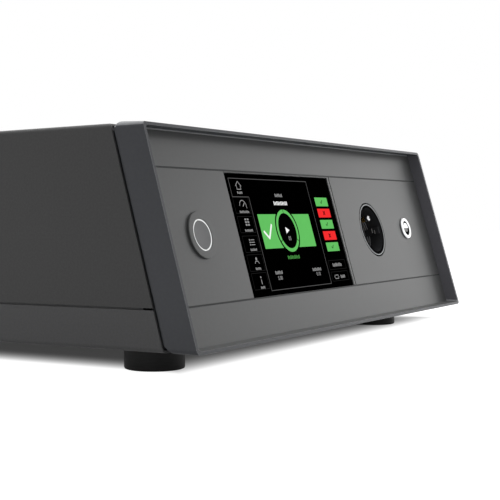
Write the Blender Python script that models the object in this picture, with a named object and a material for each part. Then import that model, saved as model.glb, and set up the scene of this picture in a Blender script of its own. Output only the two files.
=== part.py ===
"""High-voltage safety tester in a bench housing with a leaning front.

Units are metres, +Z is up, -Y is the front. Pieces of the housing are drawn from the lower
front edge of the frame: x from the middle, y as depth behind that edge, z as height above
the underside of the housing. Pieces of the front panel are drawn in the panel's own plane:
x from the middle, y as depth behind the panel face, z as distance up the slope.
"""

import math

import bmesh
import bpy
from mathutils import Matrix, Vector

# Housing
WIDTH = 0.448
DEPTH = 0.390
BODY_HEIGHT = 0.1376
SLANT = math.radians(15.0)
SHEET = 0.0015
COVER_CORNER_RADIUS = 0.003
SEAT_GAP = 0.0003
SEAM_HEIGHT = 0.0257
SEAM_GAP = 0.0013
JOGGLE_HEIGHT = 0.012
REAR_SETBACK = 0.010
REAR_SHEET = 0.002

# Front frame
HOOD_DEPTH = 0.0208
HOOD_SIDE_WALL = 0.0025
HOOD_TOP_WALL = 0.002
HOOD_CORNER_RADIUS = 0.0045
HOOD_LOW_CORNER_RADIUS = 0.003
HOOD_TOP_RISE = 0.001
HOOD_INNER_RADIUS = 0.0022
HOOD_REAR_TOP_RADIUS = 0.0025
HOOD_REAR_BOTTOM_RADIUS = 0.006
COLLAR_DEPTH = 0.002
COLLAR_INSET = 0.0012
NECK_INSET = 0.003
COVER_GAP = 0.0032
SEAT_OVERLAP = 0.006
SEAT_WALL = 0.003
FRONT_RECESS = 0.0101

# Panel plates in their channel
LOWER_STRIP = 0.0265
UPPER_STRIP = 0.02695
GROOVE = 0.001
PLATE_THICKNESS = 0.004
LEDGE_WIDTH = 0.002
LEDGE_THICKNESS = 0.0025

# Display
GLASS_FROM_LEFT = 0.0989
GLASS_WIDTH = 0.1583
GLASS_THICKNESS = 0.0016
GLASS_SETBACK = 0.0006
TRIM_TOP_LIP = 0.0011
TRIM_SIDE_LIP = 0.0034
DISPLAY_FRAME_WIDTH = 0.0036
LCD_FLANGE = 0.006
LCD_DEPTH = 0.003
DISPLAY_BOARD_THICKNESS = 0.0016
DISPLAY_BOARD_MARGIN = 0.012

# Push button
BUTTON_FROM_LEFT = 0.0513
BEZEL_RADIUS = 0.0154
BEZEL_HEIGHT = 0.0016
BEZEL_RIM_HEIGHT = 0.00072
BUTTON_RADIUS = 0.0108
BUTTON_STROKE = 0.002
LIGHT_RING_WIDTH = 0.0007
BARREL_WALL = 0.0012
BARREL_LENGTH = 0.022
STEM_RADIUS = 0.0035
BUTTON_NUT_THICKNESS = 0.0035
NUT_FLAT_MARGIN = 0.0035
SWITCH_BLOCK_SIZE = 0.024
SWITCH_BLOCK_DEPTH = 0.020

# Test socket, household pattern with a protruding earth pin. Places of both sockets are shares
# of the width between the display and the channel's right end
SOCKET_PLACE_SHARE = 0.326
SOCKET_RADIUS = 0.020
SOCKET_RING_WIDTH = 0.0018
SOCKET_RING_CLEARANCE = 0.0007
SOCKET_RIM_WALL = 0.0014
SOCKET_RECESS_DEPTH = 0.015
SOCKET_FLOOR = 0.003
SOCKET_BODY_DEPTH = 0.027
SOCKET_FLANGE_WIDTH = 0.006
SOCKET_FLANGE_THICKNESS = 0.003
SOCKET_KEY_WIDTH = 0.0055
SOCKET_KEY_HEIGHT = 0.002
CONTACT_SPACING = 0.019
CONTACT_HOLE_RADIUS = 0.00275
CONTACT_SLEEVE_WALL = 0.0006
CONTACT_TAIL = 0.004
EARTH_PIN_RADIUS = 0.0024
EARTH_PIN_RISE = 0.010
EARTH_PIN_TIP = 0.0015

# Probe socket
PROBE_PLACE_SHARE = 0.711
PROBE_FLANGE_RADIUS = 0.0095
PROBE_FLANGE_HEIGHT = 0.0015
PROBE_BORE_RADIUS = 0.0062
PROBE_WALL = 0.0014
PROBE_LENGTH = 0.020
PROBE_INSERT_RADIUS = 0.0050
PROBE_INSERT_STEP = 0.0045
PROBE_PIN_RADIUS = 0.0007
PROBE_PIN_SPACING = 0.0042
PROBE_PIN_RISE = 0.00225
PROBE_PIN_SETBACK = 0.00105
PROBE_NUT_THICKNESS = 0.003

# Feet
FOOT_HEIGHT = 0.0164
FOOT_RADIUS = 0.0196
FOOT_FROM_SIDE = 0.0492
FOOT_FROM_FRONT = 0.0633
FOOT_FROM_REAR = 0.050
FOOT_EDGE_RADIUS = 0.0012
FOOT_FLOOR = 0.006
FOOT_BORE_RADIUS = 0.0062
SCREW_RADIUS = 0.002
SCREW_HEAD_RADIUS = 0.004
SCREW_HEAD_HEIGHT = 0.0028
SCREW_CROWN_SHARE = 0.8
HOLE_CLEARANCE = 0.0004
SCREW_REACH = 0.006

# Side rails
RAIL_WIDTH = 0.010
RAIL_LOW = 0.052
RAIL_HIGH = 0.084
RAIL_SCREW_INSET = 0.006
RAIL_SCREW_DEPTH = 0.0112
RAIL_BORE_CLEARANCE = 0.0028

# Rear panel equipment: places across are shares of half the width from the middle, and heights
# are above the underside
INLET_PLACE_SHARE = -0.76
INLET_HEIGHT = 0.040
INLET_WIDTH = 0.050
INLET_TALL = 0.044
INLET_FLANGE = 0.0025
INLET_BODY_WIDTH = 0.034
INLET_BODY_TALL = 0.038
INLET_BODY_DEPTH = 0.024
INLET_MOUTH_WIDTH = 0.0245
INLET_MOUTH_TALL = 0.0165
INLET_MOUTH_DEPTH = 0.0165
INLET_MOUTH_RISE = 0.0075
INLET_CORNER_CUT = 0.0045
PIN_LENGTH = 0.0125
PIN_WIDTH = 0.004
PIN_THICKNESS = 0.002
PIN_SPACING = 0.007
PIN_EARTH_OFFSET = 0.004
PIN_ROW_DROP = 0.0015
DRAWER_WIDTH = 0.026
DRAWER_TALL = 0.0105
DRAWER_DEPTH = 0.018
DRAWER_DROP = 0.0115
DRAWER_FACE = 0.0012
SWITCH_HEIGHT = 0.092
SWITCH_WIDTH = 0.030
SWITCH_TALL = 0.022
SWITCH_FLANGE = 0.0018
SWITCH_BODY_DEPTH = 0.018
SWITCH_WALL = 0.002
SWITCH_RIM = 0.0034
ROCKER_TILT = math.radians(9.0)
ROCKER_RISE = 0.0028
ROCKER_CLEARANCE = 0.001
ROCKER_PIVOT_DEPTH = 0.002
ROCKER_PIVOT_RADIUS = 0.0015
STUD_PLACE_SHARE = -0.572
STUD_RADIUS = 0.003
STUD_LENGTH = 0.013
STUD_FLANGE_RADIUS = 0.0065
STUD_FLANGE = 0.002
STUD_NUT_THICKNESS = 0.003
STUD_TIP = 0.00075
PORT_HEIGHT = 0.040
LAN_PLACE_SHARE = -0.38
LAN_SIZE = (0.016, 0.021, 0.0138)
LAN_WALL = 0.0015
USB_PLACE_SHARE = -0.255
USB_SIZE = (0.0146, 0.018, 0.0156)
USB_WALL = 0.001
PORT_REACH = 0.0015
IO_PLACE_SHARE = -0.036
IO_FLANGE = (0.053, 0.001, 0.0125)
IO_SHELL = (0.0385, 0.0083)
IO_SHELL_WALL = 0.0009
IO_REACH = 0.006
IO_BODY = (0.0406, 0.010, 0.0105)
IO_TAPER = math.radians(10.0)

# Fan
FAN_PLACE_SHARE = 0.536
FAN_HEIGHT = 0.070
FAN_SIZE = 0.080
FAN_DEPTH = 0.025
FAN_CORNER_RADIUS = 0.004
FAN_BORE_WALL = 0.0018
FAN_TIP_CLEARANCE = 0.0012
FAN_HUB_RADIUS = 0.0165
FAN_HUB_DEPTH = 0.016
FAN_BLADES = 7
FAN_BLADE_THICKNESS = 0.0014
FAN_ROOT_CHORD = 0.01275
FAN_TIP_CHORD = 0.0187
FAN_ROOT_PITCH = math.radians(48.0)
FAN_TIP_PITCH = math.radians(26.0)
FAN_SPIDER_DEPTH = 0.0045
FAN_SPIDER_WIDTH = 0.006
FAN_SPIDER_ARMS = 3
FAN_SPIDER_TURN = math.radians(30.0)
GUARD_WIRE_RADIUS = 0.0009
GUARD_RINGS = 4
GUARD_SPOKE_THICKNESS = 0.00135
GUARD_HUB_THICKNESS = 0.00108
GUARD_HOLE_INSET = 0.00425

# Units inside: each one's place and size, across and along the room that they share, as shares
ROOM_FRONT = 0.075
ROOM_REAR_CLEARANCE = 0.003
BOARD_PLACE_SHARE = (-0.236, 0.418)
BOARD_SIZE_SHARE = (0.382, 0.545)
CORE_PLACE_SHARE = (0.090, 0.200)
CORE_SIZE_SHARE = (0.216, 0.182)
SUPPLY_PLACE_SHARE = (0.337, 0.545)
SUPPLY_SIZE_SHARE = (0.220, 0.582)
MODULE_PLACE_SHARE = (0.101, 0.509)
MODULE_SIZE_SHARE = (0.180, 0.225)
SINK_PLACE_SHARE = (0.101, 0.854)
SINK_SIZE_SHARE = (0.157, 0.291)
BOARD_THICKNESS = 0.0016
STANDOFF_HEIGHT = 0.010
STANDOFF_RADIUS = 0.003
STANDOFF_INSET = 0.008
BOARD_CHIP_ROWS = 3
DISPLAY_CHIPS = 2
CHIP_RISE = 0.004
CHIP_SHARE = 0.35
CHIP_GROWTH = 0.1
CORE_HEIGHT = 0.080
CORE_LIMB_SHARE = 0.1667
COIL_MARGIN = 0.0004
SUPPLY_HEIGHT = 0.040
SUPPLY_SLOTS = 8
SUPPLY_SLOT_SHARE = 0.7
SUPPLY_RIB = 0.002
MODULE_HEIGHT = 0.052
MODULE_STUD_RADIUS = 0.004
MODULE_STUD_HEIGHT = 0.008
SINK_HEIGHT = 0.038
SINK_FINS = 9
SINK_BASE = 0.006
SINK_FIN_THICKNESS = 0.002

# Vents in the cover's sides, near the rear
VENT_COUNT = 10
VENT_PITCH = 0.009
VENT_WIDTH = 0.0035
VENT_LOW = 0.045
VENT_HIGH = 0.100
VENT_FROM_REAR = 0.035

# Steps of round shapes
ROUND_STEPS = 32
SMALL_ROUND_STEPS = 16
TINY_ROUND_STEPS = 10
FOOT_STEPS = 24
WIRE_STEPS = 16
WIRE_SIDES = 4
FILLET_STEPS = 4
CONNECTOR_STEPS = 3
SLOT_STEPS = 2
DOME_STEPS = 3
ROCKER_STEPS = 8
BLADE_ROWS = 3
BLADE_COLUMNS = 3
SHARP_ANGLE = math.radians(35.0)

# Worked out from the sizes above
LEAN = math.tan(SLANT)
SLOPE = BODY_HEIGHT / math.cos(SLANT)
HALF_WIDTH = WIDTH / 2
REAR_FACE = DEPTH - REAR_SETBACK
REAR_INNER = REAR_FACE - REAR_SHEET
CHANNEL_BOTTOM = LOWER_STRIP
CHANNEL_TOP = SLOPE - UPPER_STRIP
CHANNEL_SIDE = HALF_WIDTH - HOOD_SIDE_WALL
PLATE_BOTTOM = CHANNEL_BOTTOM + GROOVE
PLATE_TOP = CHANNEL_TOP - GROOVE
PLATE_SIDE = CHANNEL_SIDE - SEAT_GAP
CONTROL_ROW = (CHANNEL_BOTTOM + CHANNEL_TOP) / 2
WEB_DEPTH = PLATE_THICKNESS + SEAT_GAP + LEDGE_THICKNESS
COVER_FRONT = HOOD_DEPTH + COVER_GAP
SEAT_INSET = SHEET + SEAT_GAP
SEAT_FRONT = COVER_FRONT + COLLAR_DEPTH
SEAT_REAR = SEAT_FRONT + SEAT_OVERLAP
CAVITY_INSET = SEAT_INSET + SEAT_WALL
GLASS_LEFT = -HALF_WIDTH + GLASS_FROM_LEFT
GLASS_RIGHT = GLASS_LEFT + GLASS_WIDTH
GLASS_BOTTOM = PLATE_BOTTOM + SEAT_GAP
TRIM_LEFT = GLASS_LEFT
TRIM_RIGHT = GLASS_RIGHT + TRIM_SIDE_LIP
BUTTON_X = -HALF_WIDTH + BUTTON_FROM_LEFT
RIGHT_ROOM = CHANNEL_SIDE - TRIM_RIGHT
SOCKET_X = TRIM_RIGHT + RIGHT_ROOM * SOCKET_PLACE_SHARE
PROBE_X = TRIM_RIGHT + RIGHT_ROOM * PROBE_PLACE_SHARE
TRAY_TOP = SEAM_HEIGHT - SEAM_GAP / 2
COVER_BOTTOM = SEAM_HEIGHT + SEAM_GAP / 2
FLOOR = SHEET + SEAT_GAP
INLET_X = HALF_WIDTH * INLET_PLACE_SHARE
STUD_X = HALF_WIDTH * STUD_PLACE_SHARE
LAN_X = HALF_WIDTH * LAN_PLACE_SHARE
USB_X = HALF_WIDTH * USB_PLACE_SHARE
IO_X = HALF_WIDTH * IO_PLACE_SHARE
FAN_X = HALF_WIDTH * FAN_PLACE_SHARE
FAN_BORE_RADIUS = FAN_SIZE / 2 - FAN_BORE_WALL
FAN_TIP_RADIUS = FAN_BORE_RADIUS - FAN_TIP_CLEARANCE
GUARD_HOLE_SPACING = FAN_SIZE - 2 * GUARD_HOLE_INSET
RAIL_BORE_DEPTH = RAIL_SCREW_DEPTH + RAIL_BORE_CLEARANCE
SWITCH_WELL_WIDTH = SWITCH_WIDTH - 4 * SWITCH_WALL
SWITCH_WELL_TALL = SWITCH_TALL - 2 * SWITCH_RIM
QUARTER_ROUND_INSET = 1 - math.cos(math.pi / 4)
ROOM_WIDTH = 2 * (HALF_WIDTH - SEAT_INSET)
ROOM_LENGTH = REAR_INNER - FAN_DEPTH - ROOM_REAR_CLEARANCE - ROOM_FRONT
PANEL_TILT = Matrix.Translation((0, FRONT_RECESS, 0)) @ Matrix.Rotation(-SLANT, 4, "X")

PALETTE = {
    "cover_paint": ((0.190, 0.190, 0.191), 0.55, 0.0),
    "frame_paint": ((0.205, 0.209, 0.215), 0.45, 0.0),
    "panel_paint": ((0.220, 0.223, 0.224), 0.45, 0.0),
    "glass_black": ((0.004, 0.004, 0.005), 0.08, 0.0),
    "light_white": ((0.900, 0.900, 0.880), 0.30, 0.0),
    "plastic_black": ((0.012, 0.012, 0.013), 0.45, 0.0),
    "plastic_white": ((0.700, 0.700, 0.680), 0.40, 0.0),
    "rubber_black": ((0.020, 0.020, 0.020), 0.70, 0.0),
    "chrome": ((0.700, 0.700, 0.710), 0.12, 1.0),
    "steel": ((0.450, 0.455, 0.460), 0.35, 1.0),
    "brass": ((0.700, 0.480, 0.180), 0.30, 1.0),
    "copper": ((0.450, 0.160, 0.070), 0.45, 0.5),
    "board_green": ((0.010, 0.120, 0.045), 0.50, 0.0),
    "aluminium": ((0.600, 0.605, 0.610), 0.40, 1.0),
    "core_steel": ((0.140, 0.140, 0.150), 0.50, 0.6),
}


def clear_scene():
    for old in list(bpy.data.objects):
        bpy.data.objects.remove(old, do_unlink=True)


def make_material(name):
    colour, roughness, metallic = PALETTE[name]
    material = bpy.data.materials.new(name)
    material.use_nodes = True
    surface = material.node_tree.nodes["Principled BSDF"]
    surface.inputs["Base Color"].default_value = (*colour, 1.0)
    surface.inputs["Roughness"].default_value = roughness
    surface.inputs["Metallic"].default_value = metallic
    return material


def loose_object(shape):
    """An unplaced object from a bmesh whose faces are turned to point out."""
    bmesh.ops.recalc_face_normals(shape, faces=shape.faces)
    mesh = bpy.data.meshes.new("shape")
    shape.to_mesh(mesh)
    shape.free()
    made = bpy.data.objects.new("shape", mesh)
    bpy.context.scene.collection.objects.link(made)
    return made


def place(made, name, material, parent, location=(0, 0, 0)):
    """Name, colour and place a finished piece under its datum."""
    made.name = name
    made.data.name = name
    made.parent = parent
    made.location = location
    made.data.materials.clear()
    made.data.materials.append(MATERIALS[material])
    made.data.shade_smooth()
    made.data.set_sharp_from_angle(angle=SHARP_ANGLE)
    return made


def add_datum(name, location, tilt=0.0, parent=None):
    datum = bpy.data.objects.new(name, None)
    datum.location = location
    datum.rotation_euler = (tilt, 0, 0)
    datum.parent = parent
    bpy.context.scene.collection.objects.link(datum)
    return datum


def flat_faces(mesh):
    """Split every face into triangles, which stay flat for the next Boolean."""
    shape = bmesh.new()
    shape.from_mesh(mesh)
    bmesh.ops.triangulate(shape, faces=shape.faces)
    shape.to_mesh(mesh)
    shape.free()


def combine(base, other, operation):
    """Join, cut or intersect the base with another solid, which is used up."""
    change = base.modifiers.new(operation.title(), "BOOLEAN")
    change.operation = operation
    change.solver = "EXACT"
    change.object = other
    graph = bpy.context.evaluated_depsgraph_get()
    result = bpy.data.meshes.new_from_object(base.evaluated_get(graph))
    base.modifiers.remove(change)
    flat_faces(result)
    spent = (base.data, other.data)
    base.data = result
    bpy.data.objects.remove(other, do_unlink=True)
    for mesh in spent:
        bpy.data.meshes.remove(mesh)
    return base


def join(base, *others):
    for other in others:
        combine(base, other, "UNION")
    return base


def cut(base, *others):
    for other in others:
        combine(base, other, "DIFFERENCE")
    return base


def trim_to(base, other):
    return combine(base, other, "INTERSECT")


def moved(made, matrix):
    made.data.transform(matrix)
    return made


def shifted(made, x, y, z):
    return moved(made, Matrix.Translation((x, y, z)))


def prism(outline, axis, start, end):
    """Extrude a closed outline along X, Y or Z. The outline gives the other two axes in order."""
    slots = {"X": (1, 2), "Y": (0, 2), "Z": (0, 1)}[axis]
    along = "XYZ".index(axis)
    shape = bmesh.new()
    ring = []
    for first, second in outline:
        place_at = [0.0, 0.0, 0.0]
        place_at[slots[0]] = first
        place_at[slots[1]] = second
        place_at[along] = start
        ring.append(shape.verts.new(place_at))
    face = shape.faces.new(ring)
    grown = bmesh.ops.extrude_face_region(shape, geom=[face])
    offset = [0.0, 0.0, 0.0]
    offset[along] = end - start
    raised = [item for item in grown["geom"] if isinstance(item, bmesh.types.BMVert)]
    bmesh.ops.translate(shape, vec=offset, verts=raised)
    return loose_object(shape)


def box(x_range, y_range, z_range):
    outline = [
        (x_range[0], y_range[0]),
        (x_range[1], y_range[0]),
        (x_range[1], y_range[1]),
        (x_range[0], y_range[1]),
    ]
    return prism(outline, "Z", *z_range)


def span(middle, size):
    return (middle - size / 2, middle + size / 2)


def filleted(corners, steps=FILLET_STEPS):
    """An outline from (first, second, radius) corners, each rounded by an arc."""
    points = []
    for index, (first, second, radius) in enumerate(corners):
        corner = Vector((first, second))
        if radius == 0:
            points.append(tuple(corner))
            continue
        before = (Vector(corners[index - 1][:2]) - corner).normalized()
        after = (Vector(corners[(index + 1) % len(corners)][:2]) - corner).normalized()
        half = before.angle(after) / 2
        centre = corner + (before + after).normalized() * radius / math.sin(half)
        start = corner + before * radius / math.tan(half) - centre
        end = corner + after * radius / math.tan(half) - centre
        first_angle = math.atan2(start.y, start.x)
        sweep = (math.atan2(end.y, end.x) - first_angle + math.pi) % math.tau - math.pi
        for step in range(steps + 1):
            angle = first_angle + sweep * step / steps
            points.append(
                (centre.x + radius * math.cos(angle), centre.y + radius * math.sin(angle))
            )
    return points


def rounded_rectangle(x_range, z_range, radius, steps=FILLET_STEPS):
    return filleted(
        [
            (x_range[0], z_range[0], radius),
            (x_range[1], z_range[0], radius),
            (x_range[1], z_range[1], radius),
            (x_range[0], z_range[1], radius),
        ],
        steps,
    )


def turned(profile, closed=False, steps=ROUND_STEPS):
    """Revolve (radius, depth) points round the Y axis. A closed profile makes a ring."""
    shape = bmesh.new()
    points = [shape.verts.new((radius, depth, 0)) for radius, depth in profile]
    edges = [shape.edges.new(pair) for pair in zip(points, points[1:])]
    if closed:
        edges.append(shape.edges.new((points[-1], points[0])))
    bmesh.ops.spin(
        shape,
        geom=points + edges,
        cent=(0, 0, 0),
        axis=(0, 1, 0),
        angle=math.tau,
        steps=steps,
        use_merge=True,
    )
    bmesh.ops.remove_doubles(shape, verts=shape.verts, dist=1e-6)
    return loose_object(shape)


def rod(radius, start, end, steps=SMALL_ROUND_STEPS):
    return turned([(0, start), (radius, start), (radius, end), (0, end)], steps=steps)


def upright(made):
    """Stand a piece turned round Y on end, so that its start is at the bottom."""
    return moved(made, Matrix.Rotation(math.pi / 2, 4, "X"))


def hexagon_nut(radius, bore, start, end):
    flats = [
        (radius * math.cos(math.tau * side / 6), radius * math.sin(math.tau * side / 6))
        for side in range(6)
    ]
    margin = end - start
    return cut(prism(flats, "Y", start, end), rod(bore, start - margin, end + margin))


def pan_screw(seat, reach):
    """A screw along Y whose head stands on the seat and whose shank ends at the reach."""
    crown = SCREW_HEAD_RADIUS * SCREW_CROWN_SHARE
    return turned(
        [
            (0, seat + SCREW_HEAD_HEIGHT),
            (crown, seat + SCREW_HEAD_HEIGHT),
            (SCREW_HEAD_RADIUS, seat + SCREW_HEAD_HEIGHT / 2),
            (SCREW_HEAD_RADIUS, seat),
            (SCREW_RADIUS, seat),
            (SCREW_RADIUS, reach),
            (0, reach),
        ],
        steps=TINY_ROUND_STEPS,
    )


def leaning_band(inset, near, far, rear_low_radius, top_radius, low_radius, rise=0.0):
    """A slice of the frame between two depths, set in from the hood's outside.

    Its top climbs by the rise towards the rear.
    """
    low, top = inset, BODY_HEIGHT - inset
    rear_top_radius = max(HOOD_REAR_TOP_RADIUS - inset, low_radius / 2)
    side = [
        (near + LEAN * low, low, 0),
        (near + LEAN * top, top, 0),
        (far + LEAN * top, top + rise, rear_top_radius),
        (far + LEAN * low, low, rear_low_radius),
    ]
    band = prism(filleted(side), "X", -WIDTH, WIDTH)
    half_width = HALF_WIDTH - inset
    outside = [
        (-half_width, low, low_radius),
        (half_width, low, low_radius),
        (half_width, top + rise, top_radius),
        (-half_width, top + rise, top_radius),
    ]
    return trim_to(band, prism(filleted(outside), "Y", -DEPTH, DEPTH))


def leaning_outline(front, rear, low, high, front_top_radius=0.0):
    """Side view between a leaning front edge and a rear edge that leans or stands."""
    return filleted(
        [
            (front + LEAN * low, low, 0),
            (front + LEAN * high, high, front_top_radius),
            (rear + LEAN * high, high, 0),
            (rear + LEAN * low, low, 0),
        ]
    )


def leaning_cutter(inset, near, far, low, corner_radius):
    """A leaning slot between two depths whose outline is set in from the hood's outside."""
    side = leaning_outline(near, far, -BODY_HEIGHT, 2 * BODY_HEIGHT)
    inside = rounded_rectangle(
        (-HALF_WIDTH + inset, HALF_WIDTH - inset), (low, BODY_HEIGHT - low), corner_radius
    )
    return trim_to(prism(inside, "Y", -DEPTH, DEPTH), prism(side, "X", -WIDTH, WIDTH))


def build_front_frame(case):
    frame = leaning_band(
        0,
        0,
        HOOD_DEPTH,
        HOOD_REAR_BOTTOM_RADIUS,
        HOOD_CORNER_RADIUS,
        HOOD_LOW_CORNER_RADIUS,
        HOOD_TOP_RISE,
    )
    inner = HOOD_INNER_RADIUS
    near = FRONT_RECESS + WEB_DEPTH
    collar_rear = HOOD_DEPTH + COLLAR_DEPTH
    collar = leaning_band(COLLAR_INSET, near, collar_rear, HOOD_REAR_BOTTOM_RADIUS, inner, inner)
    neck_rear = SEAT_REAR - SEAT_OVERLAP / 2
    neck = leaning_band(NECK_INSET, near, neck_rear, inner, inner, inner)
    seat = leaning_band(SEAT_INSET, SEAT_FRONT, SEAT_REAR, inner, inner, inner)
    join(frame, collar, neck, seat)
    web_rear = FRONT_RECESS + WEB_DEPTH / math.cos(SLANT)
    recess = leaning_cutter(HOOD_SIDE_WALL, -BODY_HEIGHT, FRONT_RECESS, HOOD_TOP_WALL, inner)
    cavity = leaning_cutter(CAVITY_INSET, web_rear, SEAT_REAR + DEPTH, CAVITY_INSET, inner)
    channel = box(
        (-CHANNEL_SIDE, CHANNEL_SIDE),
        (-GROOVE, PLATE_THICKNESS + SEAT_GAP),
        (CHANNEL_BOTTOM, CHANNEL_TOP),
    )
    window = box(
        (-CHANNEL_SIDE + LEDGE_WIDTH, CHANNEL_SIDE - LEDGE_WIDTH),
        (0, WEB_DEPTH * 2),
        (PLATE_BOTTOM + LEDGE_WIDTH, PLATE_TOP - LEDGE_WIDTH),
    )
    cut(frame, recess, cavity, moved(channel, PANEL_TILT), moved(window, PANEL_TILT))
    place(frame, "front_frame", "frame_paint", case)


def build_top_cover(case):
    inner = COVER_CORNER_RADIUS - SHEET
    low, top = COVER_BOTTOM, BODY_HEIGHT
    section = [
        (HALF_WIDTH, low, 0),
        (HALF_WIDTH, top, COVER_CORNER_RADIUS),
        (-HALF_WIDTH, top, COVER_CORNER_RADIUS),
        (-HALF_WIDTH, low, 0),
        (-HALF_WIDTH + SHEET, low, 0),
        (-HALF_WIDTH + SHEET, top - SHEET, inner),
        (HALF_WIDTH - SHEET, top - SHEET, inner),
        (HALF_WIDTH - SHEET, low, 0),
    ]
    cover = prism(filleted(section), "Y", 0, DEPTH)
    side = leaning_outline(COVER_FRONT, DEPTH * 2, -low, top, COVER_CORNER_RADIUS)
    trim_to(cover, prism(side, "X", -WIDTH, WIDTH))
    for index in range(VENT_COUNT):
        middle = DEPTH - VENT_FROM_REAR - index * VENT_PITCH
        end = VENT_WIDTH / 2 - SEAT_GAP
        slot = rounded_rectangle(
            span(middle, VENT_WIDTH), (VENT_LOW, VENT_HIGH), end, SLOT_STEPS
        )
        cut(cover, prism(slot, "X", -WIDTH, WIDTH))
    place(cover, "top_cover", "cover_paint", case)


def foot_places():
    sides = (-HALF_WIDTH + FOOT_FROM_SIDE, HALF_WIDTH - FOOT_FROM_SIDE)
    depths = {"front": FOOT_FROM_FRONT, "rear": DEPTH - FOOT_FROM_REAR}
    return {
        f"{row}_{side}": (x, depth)
        for row, depth in depths.items()
        for side, x in zip(("left", "right"), sides)
    }


def room_place(shares):
    """Middle of an inner unit, from its shares of the room across and along."""
    return ROOM_WIDTH * shares[0], ROOM_FRONT + ROOM_LENGTH * shares[1]


def room_size(shares):
    return ROOM_WIDTH * shares[0], ROOM_LENGTH * shares[1]


def board_ranges():
    x, y = room_place(BOARD_PLACE_SHARE)
    width, length = room_size(BOARD_SIZE_SHARE)
    return span(x, width), span(y, length)


def standoff_places():
    x_range, y_range = board_ranges()
    columns = (x_range[0] + STANDOFF_INSET, x_range[1] - STANDOFF_INSET)
    rows = (y_range[0] + STANDOFF_INSET, y_range[1] - STANDOFF_INSET)
    return [(x, y) for x in columns for y in rows]


def build_base_tray(case):
    flange_out = HALF_WIDTH - SHEET - SEAT_GAP
    flange_in = flange_out - SHEET
    step_low = TRAY_TOP - SHEET
    flange_top = TRAY_TOP + JOGGLE_HEIGHT
    inner = COVER_CORNER_RADIUS - SHEET
    right = [
        (HALF_WIDTH, 0, COVER_CORNER_RADIUS),
        (HALF_WIDTH, TRAY_TOP, 0),
        (flange_out, TRAY_TOP, 0),
        (flange_out, flange_top, 0),
        (flange_in, flange_top, 0),
        (flange_in, step_low, 0),
        (HALF_WIDTH - SHEET, step_low, 0),
        (HALF_WIDTH - SHEET, SHEET, inner),
    ]
    left = [(-x, z, radius) for x, z, radius in reversed(right)]
    tray = prism(filleted(right + left), "Y", 0, DEPTH)
    side = leaning_outline(COVER_FRONT, DEPTH * 2, -SEAM_HEIGHT, BODY_HEIGHT)
    trim_to(tray, prism(side, "X", -WIDTH, WIDTH))
    clear_x = HALF_WIDTH - SHEET - SEAT_GAP / 2
    clear = leaning_outline(0, SEAT_REAR + SEAT_GAP, SHEET + SEAT_GAP / 2, BODY_HEIGHT)
    cut(tray, prism(clear, "X", -clear_x, clear_x))
    for x, y in standoff_places():
        post = upright(rod(STANDOFF_RADIUS, SHEET / 2, SHEET + STANDOFF_HEIGHT))
        join(tray, shifted(post, x, y, 0))
    for x, y in foot_places().values():
        hole = upright(rod(SCREW_RADIUS + HOLE_CLEARANCE, -2 * SHEET, 2 * SHEET))
        cut(tray, shifted(hole, x, y, 0))
    place(tray, "base_tray", "cover_paint", case)


def build_feet(case):
    outer = FOOT_RADIUS
    edge = FOOT_EDGE_RADIUS
    for corner, (x, y) in foot_places().items():
        top = SEAT_GAP
        profile = [
            (FOOT_BORE_RADIUS, FOOT_HEIGHT),
            (outer - edge, FOOT_HEIGHT),
            (outer - edge * QUARTER_ROUND_INSET, FOOT_HEIGHT - edge * QUARTER_ROUND_INSET),
            (outer, FOOT_HEIGHT - edge),
            (outer, top + edge / 2),
            (outer - edge / 2, top),
            (SCREW_RADIUS + HOLE_CLEARANCE, top),
            (SCREW_RADIUS + HOLE_CLEARANCE, FOOT_FLOOR),
            (FOOT_BORE_RADIUS, FOOT_FLOOR),
        ]
        foot = turned(profile, closed=True, steps=FOOT_STEPS)
        moved(foot, Matrix.Rotation(-math.pi / 2, 4, "X"))
        place(foot, f"foot_{corner}", "rubber_black", case, (x, y, 0))
        screw = pan_screw(FOOT_FLOOR + SEAT_GAP, -SCREW_REACH)
        moved(screw, Matrix.Rotation(-math.pi / 2, 4, "X"))
        place(screw, f"foot_screw_{corner}", "steel", case, (x, y, 0))


def build_rails_and_rear_panel(case):
    outer = HALF_WIDTH - SEAT_INSET
    heights = (RAIL_LOW + RAIL_SCREW_INSET, RAIL_HIGH - RAIL_SCREW_INSET)
    front = SEAT_REAR + SEAT_GAP
    rear = REAR_INNER - SEAT_GAP
    panel = prism(
        rounded_rectangle(
            (-outer + SHEET + SEAT_GAP, outer - SHEET - SEAT_GAP),
            (FLOOR, BODY_HEIGHT - SEAT_INSET),
            COVER_CORNER_RADIUS,
        ),
        "Y",
        REAR_INNER,
        REAR_FACE,
    )
    for side, sign in (("left", -1), ("right", 1)):
        span_x = sorted((sign * (outer - SHEET - SEAT_GAP), sign * (outer - RAIL_WIDTH)))
        middle = sum(span_x) / 2
        slanted = [
            (front + LEAN * RAIL_LOW, RAIL_LOW),
            (front + LEAN * RAIL_HIGH, RAIL_HIGH),
            (rear, RAIL_HIGH),
            (rear, RAIL_LOW),
        ]
        rail = prism(slanted, "X", *span_x)
        for row, height in zip(("low", "high"), heights):
            bore = rod(SCREW_RADIUS + HOLE_CLEARANCE, rear - RAIL_BORE_DEPTH, rear + REAR_SHEET)
            cut(rail, shifted(bore, middle, 0, height))
            hole = rod(SCREW_RADIUS + HOLE_CLEARANCE, REAR_INNER - SHEET, REAR_FACE + SHEET)
            cut(panel, shifted(hole, middle, 0, height))
            screw = pan_screw(REAR_FACE + SEAT_GAP, rear - RAIL_SCREW_DEPTH)
            place(screw, f"panel_screw_{side}_{row}", "steel", case, (middle, 0, height))
        place(rail, f"side_rail_{side}", "aluminium", case)
    cut_rear_openings(panel)
    place(panel, "rear_panel", "cover_paint", case)


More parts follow.
